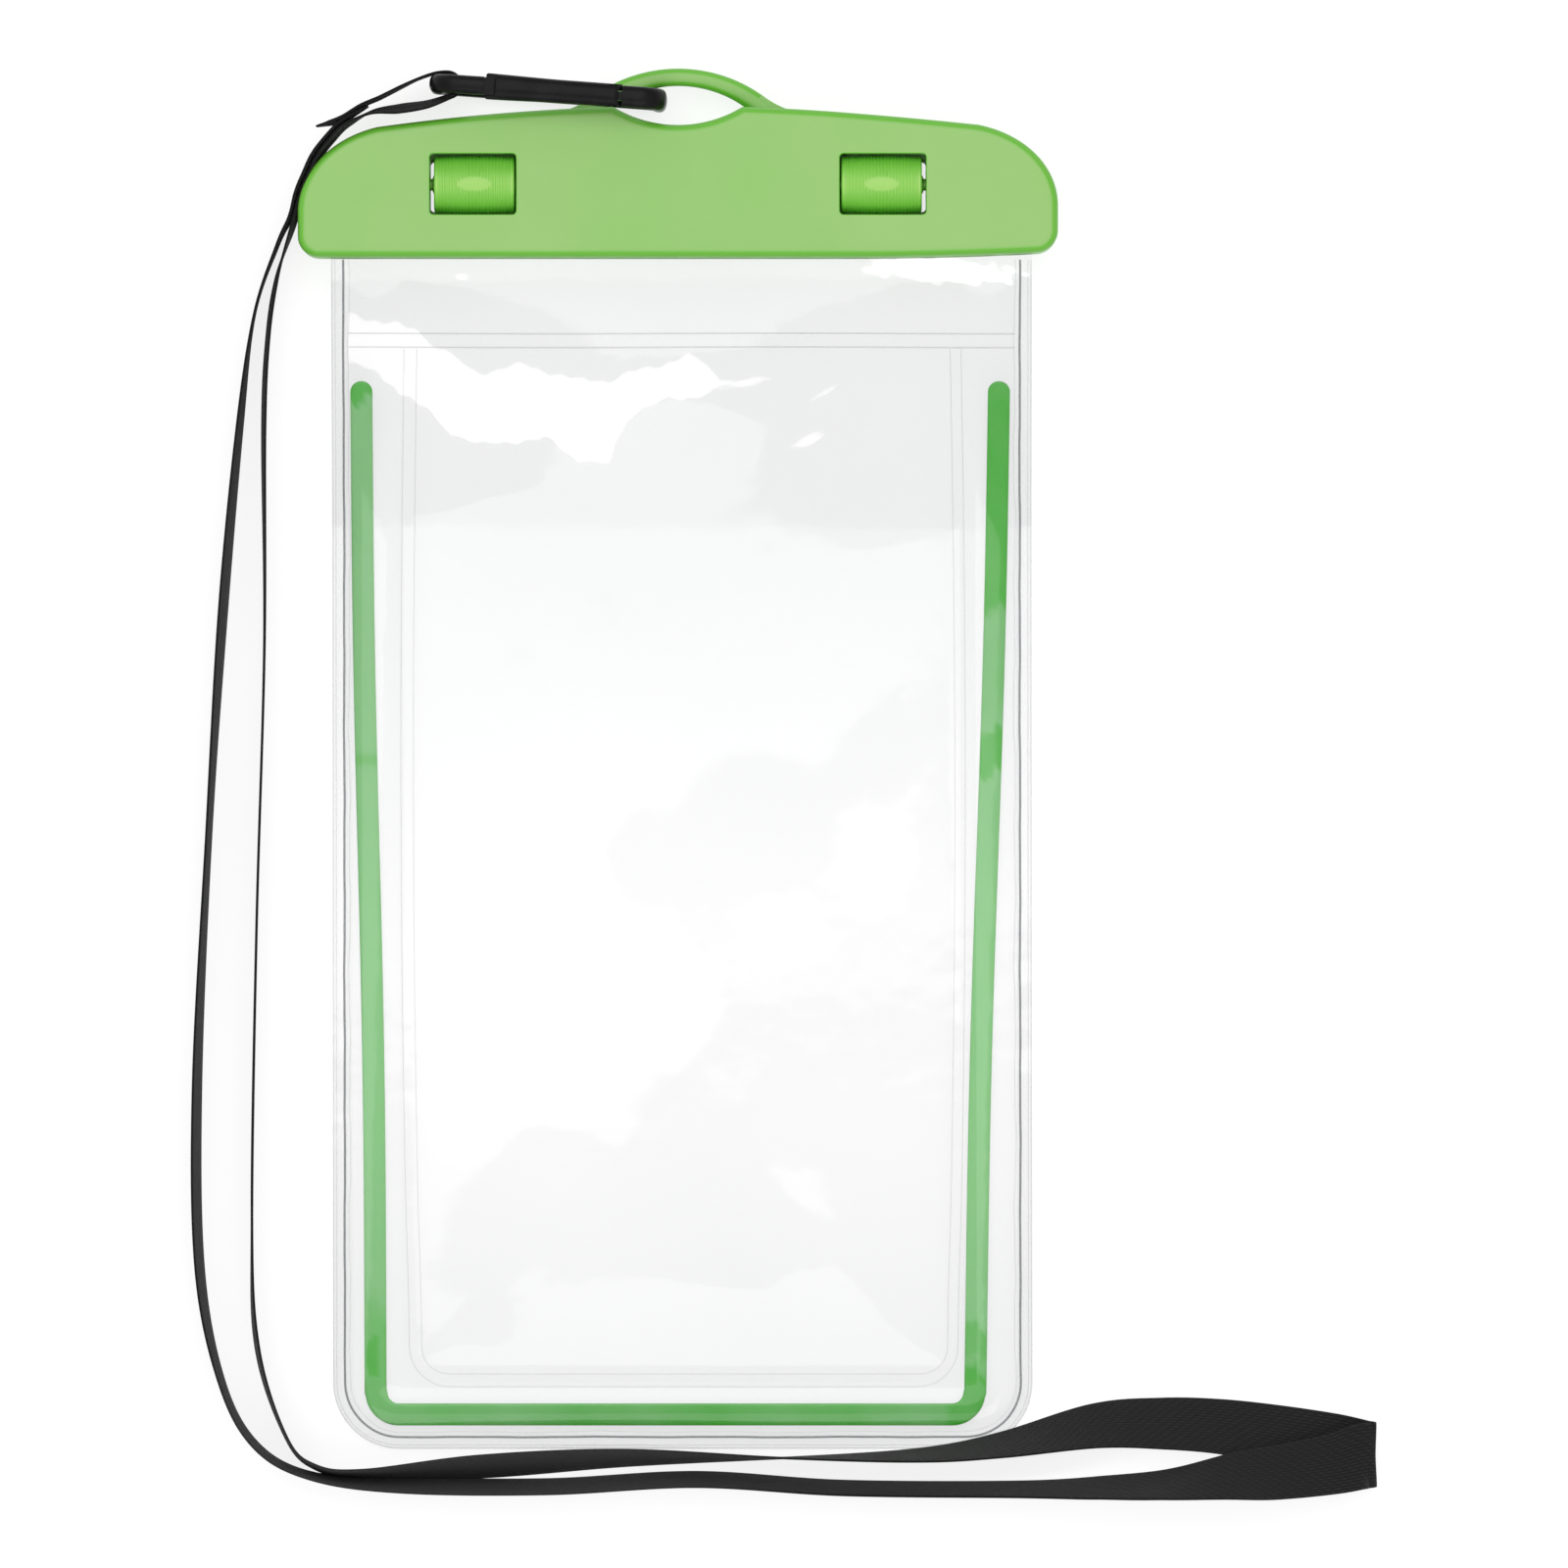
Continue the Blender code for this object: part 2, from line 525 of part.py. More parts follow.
def build_front_jaw(mat):
    jaw = rounded_plate("front_jaw", FRONT_BASE_Z, CLAMP_TOP_Z, 0.0, FRONT_EDGE_RADIUS, mat)
    core_out(jaw, FRONT_BASE_Z - GAP, CLAMP_TOP_Z - JAW_SKIN, mat)
    for side in (-1, 1):
        cut(jaw, window_cutter(f"front_window_{side}", side * WINDOW_X, FRONT_BASE_Z - GAP, CLAMP_TOP_Z,
                               WINDOW_FLARE, mat))
        reach = WINDOW_WIDTH / 2 + STUB_LENGTH + GAP
        x_low, x_high = side * WINDOW_X - reach, side * WINDOW_X + reach
        cut(jaw, rod(f"bearing_{side}", (x_low, WINDOW_Y, KNOB_AXIS_Z), (x_high, WINDOW_Y, KNOB_AXIS_Z),
                     STUB_RADIUS + GAP, mat, 16))
        snap = STUB_RADIUS - GAP / 2
        cut(jaw, block(f"bearing_mouth_{side}", (x_low, WINDOW_Y - snap, FRONT_BASE_Z - GAP),
                       (x_high, WINDOW_Y + snap, KNOB_AXIS_Z), mat))
    cut_film_band(jaw, FRONT_BASE_Z - GAP, BAND_ROOF_Z, FRONT_BASE_Z - GAP,
                  BAND_ROOF_Z + SEAL_THICKNESS + GAP, mat)
    return jaw


def knob_section(radius_at):
    """Section of the knob: barrel, entry channel facing down and the slot that hooks the keeper bar."""
    half = KEEPER_RADIUS + GAP
    slot_in, slot_out = KEEPER_ORBIT - half, KEEPER_ORBIT + half
    down = -math.pi / 2
    points = []
    for angle in np.linspace(down + math.asin(half / KNOB_RADIUS), down + 2 * math.pi
                             - math.asin(half / KNOB_RADIUS), 25):
        radius = radius_at(angle)
        points.append((radius * math.cos(angle), radius * math.sin(angle)))
    end = down - LOCK_TURN - math.radians(4.0)
    for angle in np.linspace(down - math.asin(half / slot_out), end, 6):
        points.append((slot_out * math.cos(angle), slot_out * math.sin(angle)))
    for share in (0.25, 0.5, 0.75):
        turn = end + math.pi * -share
        points.append((KEEPER_ORBIT * math.cos(end) + half * math.cos(turn),
                       KEEPER_ORBIT * math.sin(end) + half * math.sin(turn)))
    for angle in np.linspace(end, down + math.asin(half / slot_in), 7):
        points.append((slot_in * math.cos(angle), slot_in * math.sin(angle)))
    return points


def knob_profile(x):
    """Radius of the crowned barrel at a place along it, as a function of the angle."""
    crown = KNOB_CROWN * (2 * x / KNOB_LENGTH) ** 2
    groove = round(x / (GRIP_PITCH / 2)) % 2 == 1 and abs(x) < GRIP_GROOVES * GRIP_PITCH / 2

    def radius_at(angle):
        off_crown = math.remainder(angle - math.pi / 2, 2 * math.pi)
        smooth = (x / THUMB_SPOT_LENGTH) ** 2 + (off_crown / THUMB_SPOT_ANGLE) ** 2 < 1
        return KNOB_RADIUS - crown - (GRIP_DEPTH if groove and not smooth else 0.0)

    return radius_at


def build_knob(name, side, mat):
    """A barrel knob with its stub pins, its origin on the axis that it turns about."""
    shift = side * (KNOB_CLEARANCE - KNOB_OUTER_GAP) / 2
    stations = [-KNOB_LENGTH / 2, KNOB_LENGTH / 2]
    steps = GRIP_GROOVES
    stations += [k * GRIP_PITCH / 2 for k in range(-steps, steps + 1)]
    rings = []
    for x in sorted(stations):
        section = np.array(knob_section(knob_profile(x)))
        rings.append(np.column_stack([np.full(len(section), x + shift), section]))
    place = (side * WINDOW_X, WINDOW_Y, KNOB_AXIS_Z)
    knob = loft(name, rings, mat, place)
    for end in (-1, 1):
        face = shift + end * KNOB_LENGTH / 2
        tip = end * (WINDOW_WIDTH / 2 + STUB_LENGTH)
        root = face - end * STUB_BOSS_LENGTH
        span = tip - root
        profile = [(0.0, STUB_BOSS_RADIUS), ((face - root) / span, STUB_BOSS_RADIUS),
                   ((face + end * STUB_BOSS_LENGTH / 2 - root) / span, STUB_RADIUS), (1.0, STUB_RADIUS)]
        join(knob, turned(f"{name}_stub_{end}", (root, 0.0, 0.0), (tip, 0.0, 0.0), profile, mat, 12, place))
    return knob


def back_height(y):
    """Height of the back film's underside: on the table, then climbing to the clamp's parting face."""
    return BACK_FILM_Z * smooth_step(y, CLAMP_BOTTOM - RISE_START, CLAMP_BOTTOM - GAP)


def edge_distance(x, y):
    """Distance inwards from the bag's round-cornered edge, which is open at the top."""
    past_x = np.abs(x) - (HALF_BAG - BAG_CORNER_RADIUS)
    past_y = (BAG_BOTTOM + BAG_CORNER_RADIUS) - y
    outside = np.hypot(np.maximum(past_x, 0.0), np.maximum(past_y, 0.0))
    return BAG_CORNER_RADIUS - outside - np.minimum(np.maximum(past_x, past_y), 0.0)


def front_height(x, y):
    """Height of the front film's underside: welds, the strip's channel and the pillow of the compartment."""
    inward = edge_distance(x, y)
    channel = np.clip((inward - EDGE_WELD_WIDTH) / CHANNEL_WIDTH, 0.0, 1.0)
    hump = CHANNEL_RISE * np.sqrt(1 - (2 * channel - 1) ** 2)
    start = EDGE_WELD_WIDTH + CHANNEL_WIDTH + INNER_WELD_WIDTH
    pillow = np.clip((inward - start) / (HALF_BAG - start), 0.0, 1.0)
    rise = PILLOW_RISE * (1 - (1 - pillow) ** 3) ** 0.6
    hump *= 1 - smooth_step(y, STRIP_TOP + STRIP_WIDTH / 2, CLAMP_BOTTOM - GAP)
    rise *= 1 - smooth_step(y, CLAMP_BOTTOM - RISE_START, CLAMP_BOTTOM - GAP)
    return back_height(y) + FILM_THICKNESS + GAP + hump + rise


def half_width_at(y):
    """Half width of the bag at a height, with its round lower corners."""
    past = np.clip(BAG_BOTTOM + BAG_CORNER_RADIUS - y, 0.0, BAG_CORNER_RADIUS)
    return HALF_BAG - BAG_CORNER_RADIUS + np.sqrt(BAG_CORNER_RADIUS ** 2 - past ** 2)


def film(name, columns, rows, height, mat):
    """A sheet of film on a grid, between its underside and the same surface a film's thickness higher."""
    ys = np.array(rows)
    shares = np.array(columns) / HALF_BAG
    grid_x = np.outer(half_width_at(ys), shares)
    grid_y = np.repeat(ys[:, None], len(shares), axis=1)
    low = height(grid_x, grid_y)
    wide, deep = len(shares), len(ys)
    under = np.column_stack([grid_x.ravel(), grid_y.ravel(), low.ravel()])
    verts = np.concatenate([under, under + (0.0, 0.0, FILM_THICKNESS)])
    top = wide * deep
    faces = []
    for row in range(deep - 1):
        for column in range(wide - 1):
            a = row * wide + column
            b, c, d = a + 1, a + wide + 1, a + wide
            faces.append((a, d, c, b))
            faces.append((a + top, b + top, c + top, d + top))
    rim = list(range(wide)) + [row * wide + wide - 1 for row in range(1, deep)]
    rim += [(deep - 1) * wide + column for column in range(wide - 2, -1, -1)]
    rim += [row * wide for row in range(deep - 2, 0, -1)]
    for a, b in zip(rim, rim[1:] + rim[:1]):
        faces.append((a, b, b + top, a + top))
    return make(name, verts, faces, mat)


def corner_rows(steps):
    """Rows round the bag's lower corners, close together where the edge turns fast."""
    return [BAG_BOTTOM + BAG_CORNER_RADIUS * (1 - math.cos(a)) for a in np.linspace(0, math.pi / 2, steps)]


def build_back_film(mat):
    rows = corner_rows(6) + [0.0] + list(np.linspace(CLAMP_BOTTOM - RISE_START, CLAMP_BOTTOM - GAP, 8))
    rows += [FILM_TOP]
    columns = HALF_BAG * np.linspace(-1, 1, 5)
    return film("back_film", columns, rows, lambda x, y: back_height(y), mat)


def pouch_columns():
    """Columns of the front film, at each weld and up the channel and the pillow."""
    channel = EDGE_WELD_WIDTH + CHANNEL_WIDTH * np.array([0.0, 0.06, 0.25, 0.5, 0.75, 0.94, 1.0])
    start = EDGE_WELD_WIDTH + CHANNEL_WIDTH + INNER_WELD_WIDTH
    pillow = start + (HALF_BAG - start) * np.array([0.0, 0.04, 0.12, 0.25, 0.42, 0.68])
    right = [HALF_BAG] + list(HALF_BAG - channel) + list(HALF_BAG - pillow)
    return [-x for x in right] + [0.0] + right[::-1]


def build_front_film(mat):
    inner = EDGE_WELD_WIDTH + CHANNEL_WIDTH + INNER_WELD_WIDTH
    rows = corner_rows(7)
    rows += [BAG_BOTTOM + inner + (HALF_BAG - inner) * share for share in (0.0, 0.04, 0.12, 0.25, 0.42, 0.68, 1.0)]
    rows += [BAG_BOTTOM + POUCH_LENGTH * 0.40, BAG_BOTTOM + POUCH_LENGTH * 0.55]
    rows += list(np.linspace(CLAMP_BOTTOM - RISE_START, COLLAR_BOTTOM - GAP, 5))
    return film("front_film", pouch_columns(), rows, front_height, mat)


def build_collar_film(mat):
    rows = list(np.linspace(COLLAR_BOTTOM, CLAMP_BOTTOM - GAP, 4)) + [FILM_TOP]
    return film("front_collar_film", pouch_columns(), rows, front_height, mat)


def strip_path():
    """Centre line of the glow strip: down the left channel, round the foot and up the right."""
    top_x = HALF_BAG - STRIP_EDGE_MARGIN_TOP
    foot_x = HALF_BAG - STRIP_EDGE_MARGIN_FOOT
    foot_y = BAG_BOTTOM + STRIP_FOOT_MARGIN
    climb = np.linspace(STRIP_TOP, foot_y + STRIP_CORNER_RADIUS, 9)
    path = [(-top_x + (top_x - foot_x) * k / 8, y) for k, y in enumerate(climb)]
    for angle in np.linspace(0.0, math.pi / 2, 5)[1:]:
        path.append((-foot_x + STRIP_CORNER_RADIUS * (1 - math.cos(angle)),
                     foot_y + STRIP_CORNER_RADIUS * (1 - math.sin(angle))))
    return np.array(path + [(-x, y) for x, y in reversed(path)])


def build_glow_strip(mat):
    """A flat strip with round ends, following the back film a clearance above it."""
    path = strip_path()
    along = np.gradient(path, axis=0)
    along /= np.linalg.norm(along, axis=1)[:, None]
    across = np.column_stack([-along[:, 1], along[:, 0]])
    half = STRIP_WIDTH / 2
    stations = [(path[0] - along[0] * half * math.cos(a), across[0], half * math.sin(a))
                for a in np.radians([12.0, 35.0, 60.0])]
    stations += [(centre, side, half) for centre, side in zip(path, across)]
    stations += [(path[-1] + along[-1] * half * math.cos(a), across[-1], half * math.sin(a))
                 for a in np.radians([60.0, 35.0, 12.0])]
    rings = []
    for centre, side, wide in stations:
        low = back_height(centre[1]) + FILM_THICKNESS + GAP
        left, right = centre + side * wide, centre - side * wide
        rings.append([(*left, low), (*right, low), (*right, low + STRIP_THICKNESS),
                      (*left, low + STRIP_THICKNESS)])
    return loft("glow_strip", rings, mat)


def build_seal(name, low_z, mat):
    """A soft strip in its groove, as long as the clamped film allows."""
    middle = CLAMP_BOTTOM + SEAL_HEIGHT_ABOVE_EDGE
    outline = rounded_rectangle(0.0, middle, 2 * (HALF_BAG - SEAL_END_MARGIN), SEAL_WIDTH,
                                SEAL_WIDTH / 3, 2)
    return loft(name, [at_height(outline, low_z), at_height(outline, low_z + SEAL_THICKNESS)], mat)


def hook_point(along, across, z):
    """A place on the hook, along and across its ring, in the pouch's frame."""
    cos, sin = math.cos(HOOK_TURN), math.sin(HOOK_TURN)
    return (HOOK_CENTRE_X + along * cos - across * sin, HOOK_CENTRE_Y + along * sin + across * cos, z)


def side_plate(name, outline, insets, mat, location=(0.0, 0.0, 0.0)):
    """A plate whose outline lies in the hook's plane, lofted across it; insets give (across, share)."""
    centre = np.mean(outline, axis=0)
    rings = []
    for across, shrink in insets:
        ring = []
        for point in outline:
            away = np.array(point) - centre
            size = np.linalg.norm(away)
            along, z = centre + away * max(0.0, 1 - shrink / size)
            ring.append(np.array(hook_point(along, across, z)) - location)
        rings.append(ring)
    return loft(name, rings, mat, location)


def hook_centre_line():
    """The ring's centre line from beside the gate's pivot round both ends to the nose."""
    half_length = (HOOK_LENGTH - HOOK_ROD_DEPTH) / 2
    low = HOOK_LIFT + HOOK_ROD_DEPTH / 2
    high = HOOK_TOP_Z - HOOK_ROD_DEPTH / 2
    radius = HOOK_CORNER_RADIUS
    line = [(PIVOT_ALONG + TONGUE_EYE_RADIUS + 3 * GAP, high)]
    corners = [(half_length - radius, high - radius, math.pi / 2),
               (half_length - radius, low + radius, 0.0),
               (-half_length + radius, low + radius, -math.pi / 2),
               (-half_length + radius, high - radius, -math.pi)]
    for x, z, start in corners:
        for angle in np.linspace(start, start - math.pi / 2, 6):
            line.append((x + radius * math.cos(angle), z + radius * math.sin(angle)))
    line.append((GATE_TIP - GAP, high))
    return np.array(line)


def build_hook_frame(mat):
    """The C-shaped ring with a tongue for the gate's pivot and a lip that stops the gate."""
    line = hook_centre_line()
    along = np.gradient(line, axis=0)
    along /= np.linalg.norm(along, axis=1)[:, None]
    out = np.column_stack([-along[:, 1], along[:, 0]])
    deep, wide = HOOK_ROD_DEPTH / 2, HOOK_ROD_WIDTH / 2
    section = [(1.0, 0.5), (0.5, 1.0), (-0.5, 1.0), (-1.0, 0.5),
               (-1.0, -0.5), (-0.5, -1.0), (0.5, -1.0), (1.0, -0.5)]
    rings = []
    for centre, normal in zip(line, out):
        swell = smooth_step(centre[1], HOOK_LIFT + deep, HOOK_LIFT + deep + HOOK_CORNER_RADIUS)
        half = HOOK_SOLE_WIDTH / 2 + (wide - HOOK_SOLE_WIDTH / 2) * swell
        rings.append([hook_point(centre[0] + deep * a * normal[0], half * b, centre[1] + deep * a * normal[1])
                      for a, b in section])
    frame = loft("hook_frame", rings, mat)
    tongue = [(PIVOT_ALONG + TONGUE_EYE_RADIUS * math.cos(a), PIVOT_Z + TONGUE_EYE_RADIUS * math.sin(a))
              for a in np.linspace(math.pi / 2, 3 * math.pi / 2, 9)]
    end = PIVOT_ALONG + TONGUE_EYE_RADIUS + 5 * GAP
    tongue += [(end, PIVOT_Z - deep * 0.9), (end, PIVOT_Z + deep * 0.9)]
    half = TONGUE_THICKNESS / 2
    join(frame, side_plate("hook_tongue", tongue, [(-half, 0.0), (half, 0.0)], mat))
    lip = [(GATE_TIP - 4 * GAP, PIVOT_Z + GAP / 2), (GATE_TIP - 4 * GAP, HOOK_TOP_Z - GAP),
           (GATE_TIP + GATE_LAP - GAP, HOOK_TOP_Z - GAP), (GATE_TIP + GATE_LAP - GAP, PIVOT_Z + GAP / 2)]
    join(frame, side_plate("hook_lip", lip, [(-wide * 0.8, 0.0), (wide * 0.8, 0.0)], mat))
    hole = PIVOT_PIN_RADIUS + GAP
    cut(frame, rod("hook_pin_hole", hook_point(PIVOT_ALONG, -half - GAP, PIVOT_Z),
                   hook_point(PIVOT_ALONG, half + GAP, PIVOT_Z), hole, mat, 12))
    return frame


def build_hook_gate(mat):
    """The gate: a chamfered bar with a fork at its pivot and a stepped tip under the frame's lip."""
    pivot = np.array(hook_point(PIVOT_ALONG, 0.0, PIVOT_Z))
    low, high = HOOK_TOP_Z - GATE_DEPTH, HOOK_TOP_Z
    tip_top = PIVOT_Z - GAP / 2
    round_radius = GATE_DEPTH / 2
    middle = (low + high) / 2
    outline = [(GATE_TIP, low), (GATE_TIP, tip_top), (GATE_TIP + GATE_LAP, tip_top),
               (GATE_TIP + GATE_LAP, high)]
    outline += [(PIVOT_ALONG + round_radius * math.cos(a), middle + round_radius * math.sin(a))
                for a in np.linspace(math.pi / 2, -math.pi / 2, 9)]
    half = GATE_WIDTH / 2
    cheek = half - GATE_CHAMFER
    gate = side_plate("hook_gate", outline, [(-half, GATE_CHAMFER / 2), (-cheek, 0.0), (cheek, 0.0),
                                             (half, GATE_CHAMFER / 2)], mat, pivot)
    slot_half = TONGUE_THICKNESS / 2 + GAP
    start = PIVOT_ALONG - TONGUE_EYE_RADIUS - 2 * GAP
    slot = [(start, low - GAP), (start, high + GAP), (PIVOT_ALONG + GATE_DEPTH, high + GAP),
            (PIVOT_ALONG + GATE_DEPTH, low - GAP)]
    cut(gate, side_plate("gate_slot", slot, [(-slot_half, 0.0), (slot_half, 0.0)], mat))
    cut(gate, rod("gate_pin_hole", hook_point(PIVOT_ALONG, -half - GAP, PIVOT_Z),
                  hook_point(PIVOT_ALONG, half + GAP, PIVOT_Z), PIVOT_PIN_RADIUS + GAP, mat, 12))
    return gate


def build_gate_pin(mat):
    half = GATE_WIDTH / 2
    return rod("gate_pin", hook_point(PIVOT_ALONG, -half, PIVOT_Z), hook_point(PIVOT_ALONG, half, PIVOT_Z),
               PIVOT_PIN_RADIUS, mat, 12)


def smooth_route(points, samples):
    """Catmull-Rom curve through the points, sampled evenly from point to point."""
    points = np.array(points)
    padded = np.concatenate([[2 * points[0] - points[1]], points, [2 * points[-1] - points[-2]]])
    place = np.linspace(0.0, len(points) - 1, samples)
    index = np.minimum(place.astype(int), len(points) - 2)
    t = (place - index)[:, None]
    a, b, c, d = (padded[index + k] for k in range(4))
    return 0.5 * (2 * b + (c - a) * t + (2 * a - 5 * b + 4 * c - d) * t ** 2 + (3 * b - a - 3 * c + d) * t ** 3)


def build_strap(mat):
    """The flat webbing as a ribbon that stands on edge, leans and folds along its route."""
    curve = smooth_route(STRAP_ROUTE, STRAP_SAMPLES)
    centre, lean = curve[:, :3], curve[:, 3:]
    along = np.gradient(centre, axis=0)
    along /= np.linalg.norm(along, axis=1)[:, None]
    upright = np.sqrt(np.clip(1 - np.sum(lean ** 2, axis=1), 0.0, 1.0))
    across = np.column_stack([lean, upright])
    across -= along * np.sum(across * along, axis=1)[:, None]
    across /= np.linalg.norm(across, axis=1)[:, None]
    normal = np.cross(along, across)
    w, t = across * STRAP_WIDTH / 2, normal * STRAP_THICKNESS / 2
    rings = np.stack([centre + w + t, centre - w + t, centre - w - t, centre + w - t], axis=1)
    return loft("lanyard_strap", list(rings), mat)


def main():
    clear_scene()
    clamp_green = material("clamp_green", (0.36, 0.63, 0.22), 0.35)
    knob_green = material("knob_green", (0.21, 0.54, 0.09), 0.32)
    clear = material("clear_film", (0.90, 0.92, 0.93), 0.08, alpha=0.25)
    glow_green = material("glow_green", (0.16, 0.50, 0.16), 0.45)
    seal_white = material("seal_white", (0.75, 0.76, 0.75), 0.60)
    hook_black = material("hook_black", (0.012, 0.012, 0.014), 0.30, 0.6)
    webbing = material("webbing", (0.028, 0.028, 0.028), 0.85)

    build_rear_jaw(clamp_green)
    turn_about(build_front_jaw(clamp_green), swing_axis())
    build_knob("left_knob", -1, knob_green)
    build_knob("right_knob", 1, knob_green)
    build_back_film(clear)
    build_front_film(clear)
    turn_about(build_collar_film(clear), swing_axis())
    build_glow_strip(glow_green)
    build_seal("rear_seal", BAND_FLOOR_Z - SEAL_THICKNESS, seal_white)
    turn_about(build_seal("front_seal", BAND_ROOF_Z, seal_white), swing_axis())
    build_hook_frame(hook_black)
    build_hook_gate(hook_black)
    build_gate_pin(hook_black)
    build_strap(webbing)


main()
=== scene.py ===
"""Visual model of a clear waterproof phone pouch with a clamp bar, a glow strip and a webbing lanyard.

All sizes are in metres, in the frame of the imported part: +X runs across the pouch, +Y to its lanyard loop
and +Z out of its front face. Shapes are worked out as whole numpy arrays and put into meshes.
"""
import logging
import math
from dataclasses import dataclass, field
from enum import Enum

import bmesh
import bpy
import numpy as np
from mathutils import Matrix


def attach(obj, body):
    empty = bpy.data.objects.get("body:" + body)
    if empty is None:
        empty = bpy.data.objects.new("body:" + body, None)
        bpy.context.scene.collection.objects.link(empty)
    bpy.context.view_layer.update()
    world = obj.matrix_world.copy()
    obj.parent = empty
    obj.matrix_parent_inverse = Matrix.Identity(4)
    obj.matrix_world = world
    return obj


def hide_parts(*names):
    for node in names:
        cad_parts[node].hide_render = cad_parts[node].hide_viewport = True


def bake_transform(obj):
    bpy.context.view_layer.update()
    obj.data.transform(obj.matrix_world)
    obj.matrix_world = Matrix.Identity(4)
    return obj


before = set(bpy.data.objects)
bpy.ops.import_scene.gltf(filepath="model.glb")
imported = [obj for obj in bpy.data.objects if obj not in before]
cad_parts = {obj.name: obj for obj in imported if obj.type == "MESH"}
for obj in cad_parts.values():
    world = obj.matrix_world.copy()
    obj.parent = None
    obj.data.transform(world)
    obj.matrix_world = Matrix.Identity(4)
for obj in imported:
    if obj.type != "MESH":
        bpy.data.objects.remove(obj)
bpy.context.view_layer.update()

LOG = logging.getLogger("phone_pouch")
Array = np.ndarray
MM = 0.001
WHITE = (1.0, 1.0, 1.0, 1.0)
BLACK = (0.0, 0.0, 0.0, 1.0)


class Body(str, Enum):
    """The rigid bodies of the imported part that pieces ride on."""

    POUCH = "pouch"
    FRONT = "front_clamp"
    LEFT_LOCK = "left_lock"
    RIGHT_LOCK = "right_lock"
    GATE = "gate"


class Side(Enum):
    """Left and right half of the pouch, as the sign of X."""

    LEFT = -1
    RIGHT = 1


# Meshes from arrays


@dataclass
class Skin:
    """Vertices, quads and flat end faces of one surface, with an optional UV pair and shares per vertex."""

    verts: Array
    quads: Array
    caps: list = field(default_factory=list)
    uv: Array | None = None
    shares: dict = field(default_factory=dict)


def lattice(rows: int, cols: int, wrap_cols: bool = False) -> Array:
    """Quads of a grid of vertices stored row by row.

    Args:
        rows: number of rows of vertices.
        cols: number of vertices in a row.
        wrap_cols: whether each row closes on itself.

    Returns:
        An array of four vertex numbers for each quad.
    """
    i, j = np.arange(rows - 1), np.arange(cols if wrap_cols else cols - 1)
    i, j = (a.ravel() for a in np.meshgrid(i, j, indexing="ij"))
    after = (j + 1) % cols
    return np.column_stack([i * cols + j, i * cols + after, (i + 1) * cols + after, (i + 1) * cols + j])


def tube(rings: Array, uv: Array | None = None) -> Skin:
    """A solid through rings of equally many points: quads between neighbours and a flat face at each end.

    Args:
        rings: array of shape (stations, points round the ring, 3).
        uv: optional array of shape (stations, points, 2).

    Returns:
        The closed skin.
    """
    count, around = rings.shape[:2]
    quads = lattice(count, around, wrap_cols=True)
    ends = [list(range(around))[::-1], list(range((count - 1) * around, count * around))]
    return Skin(rings.reshape(-1, 3), quads, ends, None if uv is None else uv.reshape(-1, 2))


def merged(skins: list[Skin]) -> Skin:
    """Several skins as one, each keeping its own vertices."""
    starts = np.cumsum([0] + [len(s.verts) for s in skins])[:-1].tolist()
    caps = [[v + start for v in cap] for s, start in zip(skins, starts) for cap in s.caps]
    quads = np.concatenate([s.quads + start for s, start in zip(skins, starts)])
    return Skin(np.concatenate([s.verts for s in skins]), quads, caps)


def build(name: str, skin: Skin, finish: bpy.types.Material | None = None,
          sharp: float = 40.0) -> bpy.types.Object:
    """Put a skin into a mesh object at the origin, its faces pointing outwards.

    Args:
        name: the piece's name.
        skin: its vertices and faces.
        finish: its material.
        sharp: the angle in degrees from which an edge is shaded sharp.

    Returns:
        The new object.
    """
    mesh = bpy.data.meshes.new(name)
    mesh.from_pydata(skin.verts.tolist(), [], skin.quads.tolist() + skin.caps)
    work = bmesh.new()
    work.from_mesh(mesh)
    bmesh.ops.recalc_face_normals(work, faces=work.faces)
    work.to_mesh(mesh)
    work.free()
    if skin.uv is not None:
        corner = np.empty(len(mesh.loops), dtype=np.int32)
        mesh.loops.foreach_get("vertex_index", corner)
        layer = mesh.uv_layers.new(name="UVMap")
        layer.data.foreach_set("uv", skin.uv[corner].astype(np.float32).ravel())
    for share, values in skin.shares.items():
        attribute = mesh.attributes.new(share, "FLOAT", "POINT")
        attribute.data.foreach_set("value", values.astype(np.float32).ravel())
    piece = bpy.data.objects.new(name, mesh)
    bpy.context.collection.objects.link(piece)
    if finish is not None:
        mesh.materials.append(finish)
    shade(mesh, sharp)
    return piece


def shade(mesh: bpy.types.Mesh, sharp: float) -> None:
    """Shade smooth, with sharp edges from an angle in degrees."""
    mesh.shade_smooth()
    mesh.set_sharp_from_angle(angle=math.radians(sharp))


def keep_modifiers(piece: bpy.types.Object) -> None:
    """Turn what a piece's modifiers make of it into its mesh."""
    graph = bpy.context.evaluated_depsgraph_get()
    mesh = bpy.data.meshes.new_from_object(piece.evaluated_get(graph))
    piece.modifiers.clear()
    piece.data = mesh


